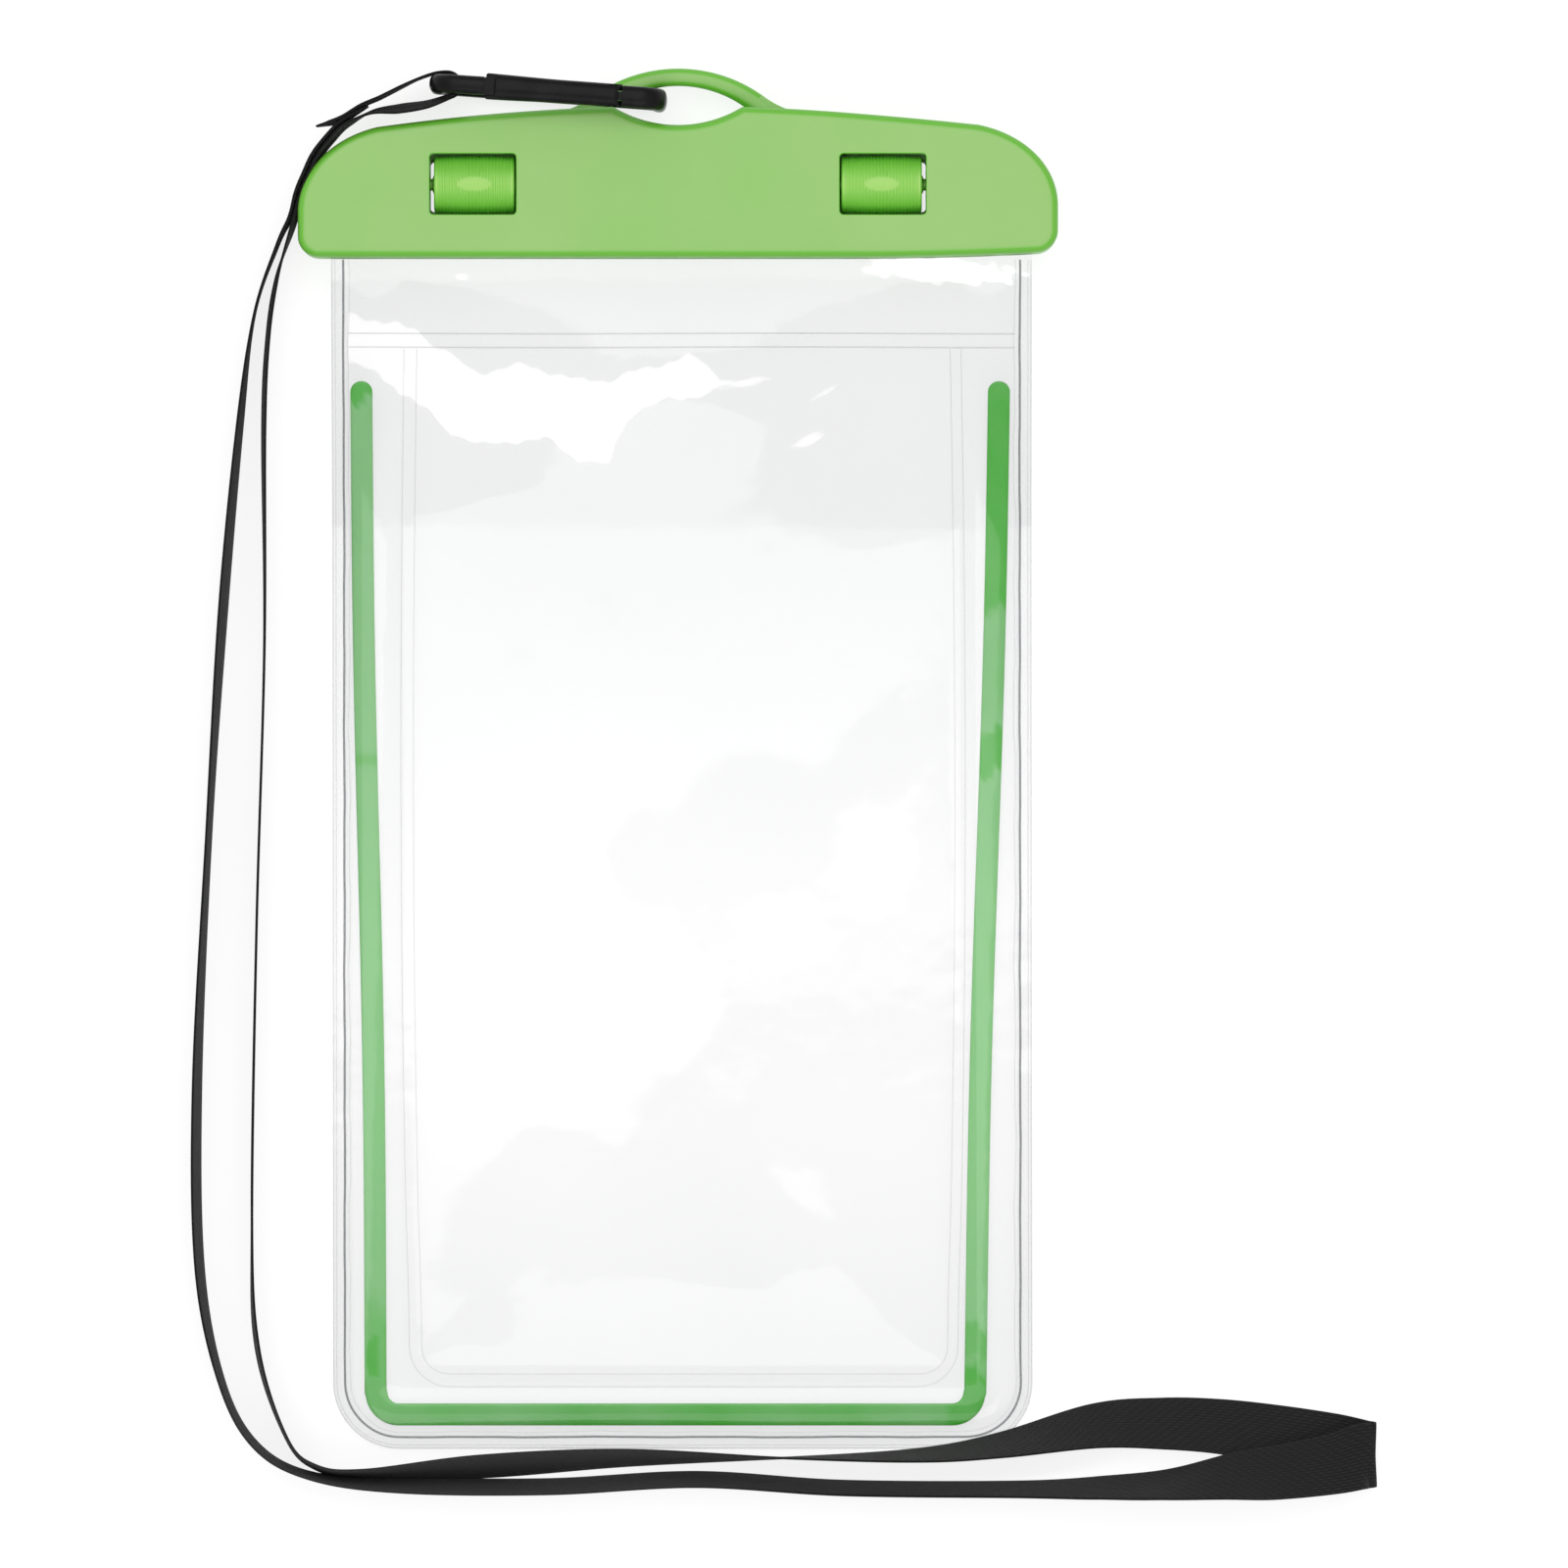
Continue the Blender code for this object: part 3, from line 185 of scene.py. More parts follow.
def carve(piece: bpy.types.Object, added: list[bpy.types.Object], cut: list[bpy.types.Object],
          sharp: float = 35.0) -> bpy.types.Object:
    """Join shapes onto a piece, cut others out of it, keep the result as its mesh and remove the tools.

    Args:
        piece: the object to change.
        added: shapes to join on.
        cut: shapes to cut out.
        sharp: the angle in degrees from which an edge of the result is shaded sharp.

    Returns:
        The same object with its finished mesh.
    """
    for tool in added + cut:
        step = piece.modifiers.new(tool.name, "BOOLEAN")
        step.operation = "UNION" if tool in added else "DIFFERENCE"
        step.solver = "EXACT"
        step.object = tool
    keep_modifiers(piece)
    for tool in added + cut:
        bpy.data.objects.remove(tool, do_unlink=True)
    shade(piece.data, sharp)
    weigh = piece.modifiers.new("flat_faces", "WEIGHTED_NORMAL")
    weigh.keep_sharp = True
    weigh.weight = 100
    keep_modifiers(piece)
    return piece


def raised(outline: Array, z: float) -> Array:
    """A flat outline put at a height."""
    return np.column_stack([outline, np.full(len(outline), z)])


def rectangle(x_low: float, y_low: float, x_high: float, y_high: float) -> Array:
    """Outline of a rectangle between two corners."""
    return np.array([(x_low, y_low), (x_high, y_low), (x_high, y_high), (x_low, y_high)])


def prism(name: str, outline: Array, low: float, high: float) -> bpy.types.Object:
    """An upright solid over a flat outline between two heights."""
    return build(name, tube(np.stack([raised(outline, low), raised(outline, high)])))


def bar(name: str, low: tuple, high: tuple) -> bpy.types.Object:
    """A box between two corners."""
    return prism(name, rectangle(*low[:2], *high[:2]), low[2], high[2])


def unit(vectors: Array) -> Array:
    """Vectors, each scaled to the length one."""
    return vectors / np.linalg.norm(vectors, axis=-1, keepdims=True)


def round_bar(name: str, start: Array, end: Array, radii: float | Array, shares: tuple | Array = (0.0, 1.0),
              sides: int = 40) -> bpy.types.Object:
    """A level turned bar: circles of one radius or several, at shares of the way from start to end."""
    start, axis = np.asarray(start, float), np.asarray(end, float) - np.asarray(start, float)
    side = unit(np.cross(axis, (0.0, 0.0, 1.0)))
    up = np.cross(side, unit(axis))
    angle = np.linspace(0.0, 2 * np.pi, sides, endpoint=False)
    circle = np.cos(angle)[:, None] * side + np.sin(angle)[:, None] * up
    shares = np.asarray(shares)
    radii = np.broadcast_to(radii, shares.shape)
    return build(name, tube(start + shares[:, None, None] * axis + radii[:, None, None] * circle))


def round_box(x: float, y: float, width: float, height: float, radius: float, steps: int = 6) -> Array:
    """Outline of a rectangle with round corners: each corner is a quarter circle about its own centre."""
    turn = np.repeat(np.arange(4) * np.pi / 2, steps + 1) + np.tile(np.linspace(0, np.pi / 2, steps + 1), 4)
    sign_x = np.repeat([1, -1, -1, 1], steps + 1)
    sign_y = np.repeat([1, 1, -1, -1], steps + 1)
    return np.column_stack([x + sign_x * (width / 2 - radius) + radius * np.cos(turn),
                            y + sign_y * (height / 2 - radius) + radius * np.sin(turn)])


def corner_arc(x: float, y: float, radius: float, steps: int) -> Array:
    """Quarter circle from a left side at x down to a foot at y."""
    turn = np.linspace(0.0, np.pi / 2, steps)
    return np.column_stack([x + radius * (1 - np.cos(turn)), y + radius * (1 - np.sin(turn))])


def ease(value: Array, low: float, high: float) -> Array:
    """0 below low, 1 above high and the cubic 3t^2 - 2t^3 between."""
    t = np.clip((value - low) / (high - low), 0.0, 1.0)
    return t * t * (3 - 2 * t)


def stops(knots: list[float], pitches: list[float]) -> Array:
    """Places from the first knot to the last, with each stretch split into steps near its own pitch."""
    parts = [np.linspace(a, b, max(1, round((b - a) / p)), endpoint=False)
             for a, b, p in zip(knots[:-1], knots[1:], pitches)]
    return np.concatenate(parts + [[knots[-1]]])


def frames(path: Array) -> tuple[Array, Array]:
    """Directions along and level beside each point of a path."""
    along = unit(np.gradient(path, axis=0))
    return along, unit(np.cross(along, (0.0, 0.0, 1.0)))


def lengths(path: Array) -> Array:
    """Distance along a path from its start to each of its points."""
    return np.concatenate([[0.0], np.cumsum(np.linalg.norm(np.diff(path, axis=0), axis=1))])


def resampled(path: Array, count: int) -> Array:
    """The same line with evenly spaced points."""
    run = lengths(path)
    place = np.linspace(0.0, run[-1], count)
    return np.column_stack([np.interp(place, run, column) for column in path.T])


def swell(phase: Array, power: float) -> tuple[Array, Array]:
    """Superellipse: the cosine and sine of each phase raised to 2 / power, with their signs kept."""
    c, s = np.cos(phase), np.sin(phase)
    return np.sign(c) * np.abs(c) ** (2 / power), np.sign(s) * np.abs(s) ** (2 / power)


# Finishes


class Shader:
    """Adds nodes to one material or world and wires them."""

    def __init__(self, name: str, world: bool = False) -> None:
        """Start an empty material of that name, or an empty world."""
        self.owner = (bpy.data.worlds if world else bpy.data.materials).new(name)
        self.owner.use_nodes = True
        self.tree = self.owner.node_tree
        self.tree.nodes.clear()

    def add(self, kind: str, inputs: dict | None = None, **settings: object) -> bpy.types.Node:
        """Add a node.

        Args:
            kind: the node's type name after ShaderNode.
            inputs: values or sockets to link, by the input's name or number.
            settings: properties of the node itself.

        Returns:
            The node.
        """
        node = self.tree.nodes.new("ShaderNode" + kind)
        for key, value in settings.items():
            setattr(node, key, value)
        for key, value in (inputs or {}).items():
            if isinstance(value, bpy.types.NodeSocket):
                self.tree.links.new(value, node.inputs[key])
            else:
                node.inputs[key].default_value = value
        return node

    def math(self, operation: str, *values: object) -> bpy.types.NodeSocket:
        """The result of a math node on values or sockets."""
        return self.add("Math", dict(enumerate(values)), operation=operation).outputs[0]

    def blend(self, share: object, first: object, second: object) -> bpy.types.NodeSocket:
        """A colour between two others."""
        return self.add("Mix", {0: share, 6: first, 7: second}, data_type="RGBA").outputs[2]

    def ramp(self, value: bpy.types.NodeSocket, low: float, high: float) -> bpy.types.NodeSocket:
        """0 where value is low, 1 where it is high, smooth between."""
        return self.add("MapRange", {0: value, 1: low, 2: high}, interpolation_type="SMOOTHSTEP").outputs[0]

    def place(self) -> bpy.types.NodeSocket:
        """Object coordinates."""
        return self.add("TexCoord").outputs["Object"]

    def share(self, name: str) -> bpy.types.NodeSocket:
        """A value that the mesh carries per vertex."""
        return self.add("Attribute", attribute_name=name).outputs["Fac"]

    def seen(self) -> bpy.types.NodeSocket:
        """1 for rays from the camera, off gloss and through glass, otherwise 0."""
        rays = self.add("LightPath").outputs
        direct = self.math("MAXIMUM", rays["Is Camera Ray"], rays["Is Transmission Ray"])
        return self.math("MAXIMUM", direct, rays["Is Glossy Ray"])

    def noise(self, scale: float, detail: float = 2.0) -> bpy.types.NodeSocket:
        """Noise on Object coordinates."""
        return self.add("TexNoise", {"Vector": self.place(), "Scale": scale, "Detail": detail}).outputs[0]

    def bump(self, height: bpy.types.NodeSocket, strength: float, distance: float) -> bpy.types.NodeSocket:
        """A normal from a height in units of the distance."""
        return self.add("Bump", {"Height": height, "Strength": strength, "Distance": distance}).outputs[0]

    def close(self, surface: bpy.types.Node) -> bpy.types.Material | bpy.types.World:
        """Wire the surface to the output and return the material or the world."""
        world = isinstance(self.owner, bpy.types.World)
        self.add("OutputWorld" if world else "OutputMaterial", {"Surface": surface.outputs[0]})
        return self.owner

    def solid(self, color: object, rough: object, normal: object,
              more: dict | None = None) -> bpy.types.Material:
        """The material with a principled surface of that colour, roughness and normal."""
        inputs = {"Base Color": color, "Roughness": rough, "Normal": normal, **(more or {})}
        return self.close(self.add("BsdfPrincipled", inputs))


@dataclass(frozen=True)
class MouldedPlastic:
    """Moulded plastic: satin faces square to Z in a paler colour that is painted sheen, polished leaning
    edges in a deeper colour that is painted shade, and a faint mottle.
    """

    name: str
    # face: the paler colour, painted sheen; edge: the deeper colour, painted shade
    face: tuple = (0.360, 0.662, 0.192, 1.0)
    edge: tuple = (0.178, 0.600, 0.050, 1.0)
    mottle: float = 0.22
    satin: float = 0.48
    polish: float = 0.38
    peel_scale: float = 1500.0
    peel: float = 0.10
    painted_sheen_range: tuple = (0.86, 0.998)

    def make(self) -> bpy.types.Material:
        """The material."""
        s = Shader(self.name)
        upright = s.add("SeparateXYZ", {0: s.add("TexCoord").outputs["Normal"]}).outputs[2]
        flat = s.ramp(s.math("ABSOLUTE", upright), *self.painted_sheen_range)
        cloud = s.math("MULTIPLY_ADD", s.ramp(s.noise(38.0, 4.0), 0.3, 0.7), self.mottle, -self.mottle)
        # painted sheen and shade: paler where the surface lies square to Z, deeper green where it leans away,
        # with the random mottle on top
        color = s.blend(s.math("ADD", flat, cloud), self.edge, self.face)
        satin = s.math("MULTIPLY_ADD", flat, self.satin - self.polish, self.polish)
        rough = s.math("MULTIPLY_ADD", s.noise(220.0, 3.0), 0.08, s.math("SUBTRACT", satin, 0.04))
        normal = s.bump(s.noise(self.peel_scale, 1.0), self.peel, 0.1 * MM)
        return s.solid(color, rough, normal)


@dataclass(frozen=True)
class ClearFilm:
    """Clear soft film: it passes most light straight on, mirrors a little and darkens with its tone. Where
    its highlight share is high, a highlight is painted: the tone is cleared and extra gloss is added.
    """

    name: str
    clear: tuple = (0.996, 0.996, 0.996, 1.0)
    tinted: tuple = (0.60, 0.61, 0.62, 1.0)
    milk: float = 0.006
    head_on: float = 0.020
    painted_highlight: float = 0.040
    painted_highlight_edge: tuple = (0.475, 0.555)
    grazing: float = 0.8
    rough: float = 0.05
    waviness: float = 0.25
    wave_scale: float = 70.0
    haze: tuple = (0.92, 0.92, 0.93, 1.0)

    def make(self) -> bpy.types.Material:
        """The material."""
        s = Shader(self.name)
        # painted highlight: inside the patches the grey tone is cleared and extra gloss is added on top
        painted_highlight = s.ramp(s.share("painted_highlight"), *self.painted_highlight_edge)
        tone = s.math("MULTIPLY", s.share("tone"), s.math("SUBTRACT", 1.0, painted_highlight))
        through = s.add("BsdfTransparent", {"Color": s.blend(tone, self.clear, self.tinted)})
        haze = s.add("BsdfDiffuse", {"Color": self.haze})
        body = s.add("MixShader", {0: self.milk, 1: through.outputs[0], 2: haze.outputs[0]})
        facing = s.add("LayerWeight", {"Blend": 0.5}).outputs["Facing"]
        mirror = s.math("MULTIPLY_ADD", s.math("POWER", facing, 5.0), self.grazing, self.head_on)
        normal = s.bump(s.noise(self.wave_scale, 3.0), self.waviness, 0.4 * MM)
        gloss = s.add("BsdfAnisotropic", {"Color": WHITE, "Roughness": self.rough, "Normal": normal})
        base = s.add("MixShader", {0: mirror, 1: body.outputs[0], 2: gloss.outputs[0]})
        painted_highlight_color = s.blend(painted_highlight, BLACK, (self.painted_highlight, self.painted_highlight, self.painted_highlight, 1.0))
        painted_highlight_gloss = s.add("BsdfAnisotropic", {"Color": painted_highlight_color, "Roughness": self.rough, "Normal": normal})
        return s.close(s.add("AddShader", {0: base.outputs[0], 1: painted_highlight_gloss.outputs[0]}))


@dataclass(frozen=True)
class GlowPlastic:
    """Milky green strip that looks deeper where the film lies on it."""

    name: str
    milky: tuple = (0.264, 0.675, 0.240, 1.0)
    deep: tuple = (0.045, 0.530, 0.008, 1.0)

    def make(self) -> bpy.types.Material:
        """The material."""
        s = Shader(self.name)
        grain = s.math("MULTIPLY_ADD", s.noise(900.0, 3.0), 0.10, -0.05)
        color = s.blend(s.math("ADD", s.share("tone"), grain), self.milky, self.deep)
        normal = s.bump(s.noise(1800.0, 2.0), 0.12, 0.1 * MM)
        return s.solid(color, 0.42, normal, {"Subsurface Weight": 0.15, "Subsurface Scale": 0.0006})


@dataclass(frozen=True)
class BlackCoat:
    """Black coated metal, smooth and slightly glossy."""

    name: str
    color: tuple = (0.004, 0.004, 0.0042, 1.0)
    wear_and_painted_sheen: tuple = (0.008, 0.008, 0.0085, 1.0)

    def make(self) -> bpy.types.Material:
        """The material."""
        s = Shader(self.name)
        rough = s.math("MULTIPLY_ADD", s.noise(500.0, 3.0), 0.16, 0.24)
        normal = s.bump(s.noise(2600.0, 2.0), 0.15, 0.05 * MM)
        color = s.blend(s.ramp(s.noise(300.0, 3.0), 0.4, 0.7), self.color, self.wear_and_painted_sheen)
        return s.solid(color, rough, normal, {"Specular IOR Level": 0.13})


@dataclass(frozen=True)
class Webbing:
    """Flat black webbing: fine ribs along the band, broken into short floats by the cross threads.

    The piece's UV map is in metres, U along the band and V across it. At the pouch's foot the band is
    lighter, a painted sheen.
    """

    name: str
    dark: tuple = (0.004, 0.004, 0.0042, 1.0)
    light: tuple = (0.024, 0.024, 0.0245, 1.0)
    # lighter colours of the painted sheen at the pouch's foot
    painted_sheen_dark: tuple = (0.020, 0.020, 0.0203, 1.0)
    painted_sheen_light: tuple = (0.068, 0.068, 0.0685, 1.0)
    rib_pitch: float = 0.50 * MM
    float_length: float = 1.50 * MM
    row_offset: float = 0.37
    # where the painted sheen starts and is full, along X and along Y
    painted_sheen_x: tuple = (0.030, -0.010)
    painted_sheen_y: tuple = (-0.088, -0.104)

    def make(self) -> bpy.types.Material:
        """The material."""
        s = Shader(self.name)
        split = s.add("SeparateXYZ", {0: s.add("UVMap").outputs[0]})
        along = s.math("DIVIDE", split.outputs[0], self.float_length)
        across = s.math("DIVIDE", split.outputs[1], self.rib_pitch)
        rib = s.math("ABSOLUTE", s.math("SINE", s.math("MULTIPLY", across, math.pi)))
        offset = s.math("MULTIPLY", s.math("FLOOR", across), self.row_offset)
        float_phase = s.math("SINE", s.math("MULTIPLY", s.math("ADD", along, offset), 2 * math.pi))
        crown = s.math("MULTIPLY_ADD", float_phase, 0.5, 0.5)
        height = s.math("MULTIPLY", s.math("POWER", rib, 0.7), s.math("MULTIPLY_ADD", crown, 0.40, 0.60))
        fuzz = s.noise(2500.0, 3.0)
        lift = s.math("MULTIPLY", height, s.math("MULTIPLY_ADD", fuzz, 0.8, 0.6))
        x, y, _ = s.add("SeparateXYZ", {0: s.place()}).outputs
        # painted sheen: the band turns lighter towards the pouch's foot and its left side
        wear_and_painted_sheen = s.math("MULTIPLY", s.ramp(x, *self.painted_sheen_x), s.ramp(y, *self.painted_sheen_y))
        low, high = s.blend(wear_and_painted_sheen, self.dark, self.painted_sheen_dark), s.blend(wear_and_painted_sheen, self.light, self.painted_sheen_light)
        color = s.blend(lift, low, high)
        normal = s.bump(s.math("MULTIPLY_ADD", fuzz, 0.25, height), 0.55, 0.12 * MM)
        return s.solid(color, 0.78, normal, {"Specular IOR Level": 0.15, "Sheen Weight": 0.06,
                                             "Sheen Roughness": 0.5})


@dataclass(frozen=True)
class SoftFoam:
    """Pale closed-cell foam rubber of the clamp's seals."""

    name: str
    skin: tuple = (0.62, 0.63, 0.62, 1.0)
    pores: tuple = (0.45, 0.46, 0.45, 1.0)

    def make(self) -> bpy.types.Material:
        """The material."""
        s = Shader(self.name)
        cells = s.add("TexVoronoi", {"Vector": s.place(), "Scale": 3200.0}).outputs[0]
        color = s.blend(s.ramp(cells, 0.0, 0.6), self.pores, self.skin)
        return s.solid(color, 0.8, s.bump(cells, 0.4, 0.1 * MM))


@dataclass(frozen=True)
class SewingThread:
    """Twisted black thread."""

    name: str
    groove: tuple = (0.012, 0.012, 0.013, 1.0)
    crest: tuple = (0.055, 0.055, 0.057, 1.0)

    def make(self) -> bpy.types.Material:
        """The material."""
        s = Shader(self.name)
        twist = s.add("TexWave", {"Vector": s.place(), "Scale": 900.0}).outputs["Fac"]
        return s.solid(s.blend(twist, self.groove, self.crest), 0.6, s.bump(twist, 0.5, 0.05 * MM))


def dress(piece: bpy.types.Object, body: Body, replaces: tuple[str, ...] = ()) -> None:
    """Let a piece ride on its body and stand for the CAD nodes it replaces."""
    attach(piece, body.value)
    if replaces:
        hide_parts(*replaces)
    LOG.info("%s rides on %s (%d faces)", piece.name, body.value, len(piece.data.polygons))


# Clamp bar


@dataclass
class ClampBar:
    """The two jaws of the clamp bar with their windows, the keeper bars and the lanyard loop."""

    width: float = 0.1161
    height: float = 0.0231
    side_height: float = 0.007
    corner: float = 0.0032
    arc_radius: float = 0.327
    shoulder: float = 0.01705
    handover: float = 0.29
    dip_radius: float = 0.0190
    dip_height: float = 0.0202
    bottom: float = 0.07655
    parting: float = 0.00545
    gap: float = 0.0003
    front_thickness: float = 0.00575
    front_round: float = 0.0014
    rear_round: float = 0.0010
    parting_round: float = 0.0002
    skin: float = 0.0018
    wall: float = 0.0020
    rib: float = 0.0012
    window_x: float = 0.0313
    window_y: float = 0.0877
    window_width: float = 0.0132
    window_height: float = 0.0093
    window_corner: float = 0.0006
    window_round: float = 0.0002
    window_wall: float = 0.0034
    rear_window_height: float = 0.0082
    rear_inset: float = 0.00015
    hidden: float = 0.0016
    knob_axis: float = 0.0074
    keeper_radius: float = 0.00055
    stub_radius: float = 0.0009
    stub_length: float = 0.0015
    half_bag: float = 0.0534
    film: float = 0.0004
    band_wall: float = 0.0012
    seal_width: float = 0.0018
    seal_thickness: float = 0.0010
    seal_height: float = 0.0028
    seal_margin: float = 0.0027
    loop_rise: float = 0.02905
    loop_inner: float = 0.0179
    loop_outer: float = 0.0220
    loop_rod: float = 0.0027
    loop_depth: float = 0.0025
    loop_base: float = 0.0001
    loop_spread: float = math.radians(50.0)
    gusset_reach: float = 0.0180
    gusset_top: float = 0.0128
    bend: float = 0.0009
    bend_from: float = 0.025
    top_points: int = 88

    def bent(self, x: Array) -> Array:
        """How far the right end of the bar bends up, as a square of the way to it."""
        return self.bend * np.clip((x - self.bend_from) / (self.width / 2 - self.bend_from), 0.0, 1.0) ** 2

    def crown(self, x: Array, inset: float) -> Array:
        """Height of the flat top arc: the crown less x^2 / 2R, moved inwards."""
        return self.height - inset - x * x / (2 * self.arc_radius)

    def dip_reach(self, inset: float) -> float:
        """Half width at which the eye's lower arc meets the top arc, by repeated substitution."""
        radius = self.dip_radius + inset
        reach = 0.0
        for _ in range(20):
            drop = self.dip_height + self.dip_radius - self.crown(reach, inset)
            reach = math.sqrt(radius ** 2 - drop ** 2)
        return reach

    def outline(self, inset: float) -> Array:
        """Outline of a jaw, moved inwards: eye arc, flat arc, elliptical shoulder, corner, foot, mirrored."""
        run, centre = self.shoulder - inset, self.width / 2 - self.shoulder
        reach, hand = self.dip_reach(inset), centre + self.handover * run
        x_dip = np.linspace(0.0, reach, 16)
        y_dip = self.dip_height + self.dip_radius - np.sqrt((self.dip_radius + inset) ** 2 - x_dip ** 2)
        x_arc = np.linspace(reach, hand, 40)[1:]
        half_axis = (self.crown(hand, inset) - self.side_height) / math.sqrt(1 - self.handover ** 2)
        angle = np.linspace(math.asin(self.handover), np.pi / 2, 34)[1:]
        x_end, y_end = centre + run * np.sin(angle), self.side_height + half_axis * np.cos(angle)
        turn = np.linspace(0.0, np.pi / 2, 10)
        x_low = self.width / 2 - self.corner + (self.corner - inset) * np.cos(turn)
        y_low = self.corner - (self.corner - inset) * np.sin(turn)
        x = np.concatenate([x_dip, x_arc, x_end, x_low])
        y = self.bottom + np.concatenate([y_dip, self.crown(x_arc, inset), y_end, y_low])
        foot = self.width / 2 - self.corner
        x_foot = np.linspace(foot, -foot, 40)[1:-1]
        x = np.concatenate([x, x_foot, -x[:0:-1]])
        y = np.concatenate([y, np.full(len(x_foot), self.bottom + inset), y[:0:-1]])
        return np.column_stack([x, y + self.bent(x)])

    def plate(self, name: str, low: float, high: float, low_round: float, high_round: float,
              finish: bpy.types.Material) -> bpy.types.Object:
        """The outline as a plate with quarter-round edges: inset r(1 - sin a) at height r(1 - cos a)."""
        turn = np.linspace(0.0, np.pi / 2, 9)
        lower = [(low_round * (1 - math.sin(a)), low + low_round * (1 - math.cos(a))) for a in turn]
        upper = [(high_round * (1 - math.sin(a)), high - high_round * (1 - math.cos(a))) for a in turn[::-1]]
        lip = 0.3 * MM
        profile = [(low_round + lip, low)] + lower + upper + [(high_round + lip, high)]
        return build(name, tube(np.stack([raised(self.outline(inset), z) for inset, z in profile])), finish)

    def window(self, name: str, x: float, low: float, high: float, mouth: float) -> bpy.types.Object:
        """A window's cutter; at depth d under the face its mouth grows by r - sqrt(r^2 - (r - d)^2)."""
        depth = mouth * (1 - np.sin(np.linspace(0.0, np.pi / 2, 7)))
        grow = mouth - np.sqrt(np.maximum(0.0, mouth ** 2 - (mouth - depth) ** 2))
        rows = [(low, 0.0), *zip(high - depth, grow), (high + self.gap, mouth)]
        rings = [raised(round_box(x, self.window_y, self.window_width + 2 * g, self.window_height + 2 * g,
                                  self.window_corner + g), z) for z, g in rows]
        return build(name, tube(np.stack(rings)))

    def rear_windows(self, side: Side) -> list[bpy.types.Object]:
        """Cutters of a rear window: a pocket as tight as the barrel's turn allows, and a smaller hole."""
        half = self.window_width / 2
        tools = []
        pocket = (half - self.rear_inset, 0.5, 0.5, 2.7 * MM, self.parting + self.gap)
        hole = (half - self.hidden, 0.5, 0.44, -self.gap, 2.9 * MM)
        for inner, down, up, low, high in (pocket, hole):
            middle = side.value * (self.window_x + (half - inner) / 2)
            tall = self.rear_window_height * (up + down)
            place = self.window_y + self.rear_window_height * (up - down) / 2
            outline = round_box(middle, place, inner + half, tall, self.window_corner)
            tools.append(prism(f"rear_window_{side.name}_{low:.4f}", outline, low, high))
        return tools

    def pockets(self, low: float, high: float) -> list[bpy.types.Object]:
        """Core-outs between the ribs, under the top edge's wall."""
        floor = self.window_y - self.window_height / 2 - self.band_wall + self.rib
        near = self.window_x - self.window_width / 2 - self.window_wall
        far = self.window_x + self.window_width / 2 + self.window_wall
        edge_x, edge_y = self.outline(self.wall)[:self.top_points].T
        edge_y = edge_y - self.bent(edge_x)
        tools = []
        for side in Side:
            for start, end in ((self.rib / 2, near), (far, self.width / 2 - self.wall - self.rib / 2)):
                x = np.linspace(start, end, 24)[::-1]
                top = np.column_stack([x, np.interp(x, edge_x, edge_y)])
                outline = np.concatenate([[(end, floor)], top, [(start, floor)]])
                tools.append(prism(f"pocket_{side.name}_{start:.4f}", outline * (side.value, 1.0), low, high))
        return tools

    def film_band(self, low: float, high: float, groove_low: float,
                  groove_high: float) -> list[bpy.types.Object]:
        """Cutters for the recess of the two films and the groove of the seal."""
        half = self.half_bag + self.gap + self.wall / 4
        top = self.window_y - self.window_height / 2 - self.band_wall
        middle = self.bottom + self.seal_height
        reach, wide = self.half_bag - self.seal_margin + self.gap, self.seal_width / 2 + self.gap
        return [bar("film_band", (-half, self.bottom - self.gap, low), (half, top, high)),
                bar("seal_groove", (-reach, middle - wide, groove_low), (reach, middle + wide, groove_high))]

    def front(self, finish: bpy.types.Material) -> bpy.types.Object:
        """The front jaw: a rounded shell with two windows, the knobs' snap bearings and the film's recess."""
        low, high = self.parting + self.gap, self.parting + self.gap + self.front_thickness
        jaw = self.plate("front_jaw_shell", low, high, self.parting_round, self.front_round, finish)
        cut = self.pockets(low - self.gap, high - self.skin)
        for side in Side:
            x = side.value * self.window_x
            cut.append(self.window(f"window_{side.name}", x, low - self.gap, high, self.window_round))
            reach = self.window_width / 2 + self.stub_length + self.gap
            cut.append(round_bar(f"bearing_{side.name}", (x - reach, self.window_y, self.knob_axis),
                                 (x + reach, self.window_y, self.knob_axis), self.stub_radius + self.gap))
            snap = self.stub_radius - self.gap / 2
            cut.append(bar(f"bearing_mouth_{side.name}", (x - reach, self.window_y - snap, low - self.gap),
                           (x + reach, self.window_y + snap, self.knob_axis)))
        roof = low + self.film + self.gap
        cut += self.film_band(low - self.gap, roof, low - self.gap, roof + self.seal_thickness + self.gap)
        return carve(jaw, [], cut)

    def rod(self) -> bpy.types.Object:
        """The loop's rod: an elliptic ring between an inner and a larger outer arc, thicker at its roots."""
        inner_y = self.bottom + self.loop_rise - self.loop_rod - self.loop_inner
        outer_y = self.bottom + self.loop_rise - self.loop_outer
        angle = np.linspace(-self.loop_spread, self.loop_spread, 81)
        out = np.column_stack([np.sin(angle), np.cos(angle)])
        inner = np.array((0.0, inner_y)) + self.loop_inner * out
        outer = np.array((0.0, outer_y)) + self.loop_outer * out
        half = np.linalg.norm(outer - inner, axis=1) / 2
        phase = np.linspace(0.0, 2 * np.pi, 36, endpoint=False)
        c, s = swell(phase, 2.3)
        flat = (inner + outer)[:, None, :] / 2 + (half[:, None] * c)[:, :, None] * out[:, None, :]
        middle = self.parting - self.loop_base - self.loop_depth / 2
        z = np.broadcast_to(middle + self.loop_depth / 2 * s, flat.shape[:2])
        return build("loop_rod", tube(np.concatenate([flat, z[:, :, None]], axis=2)))

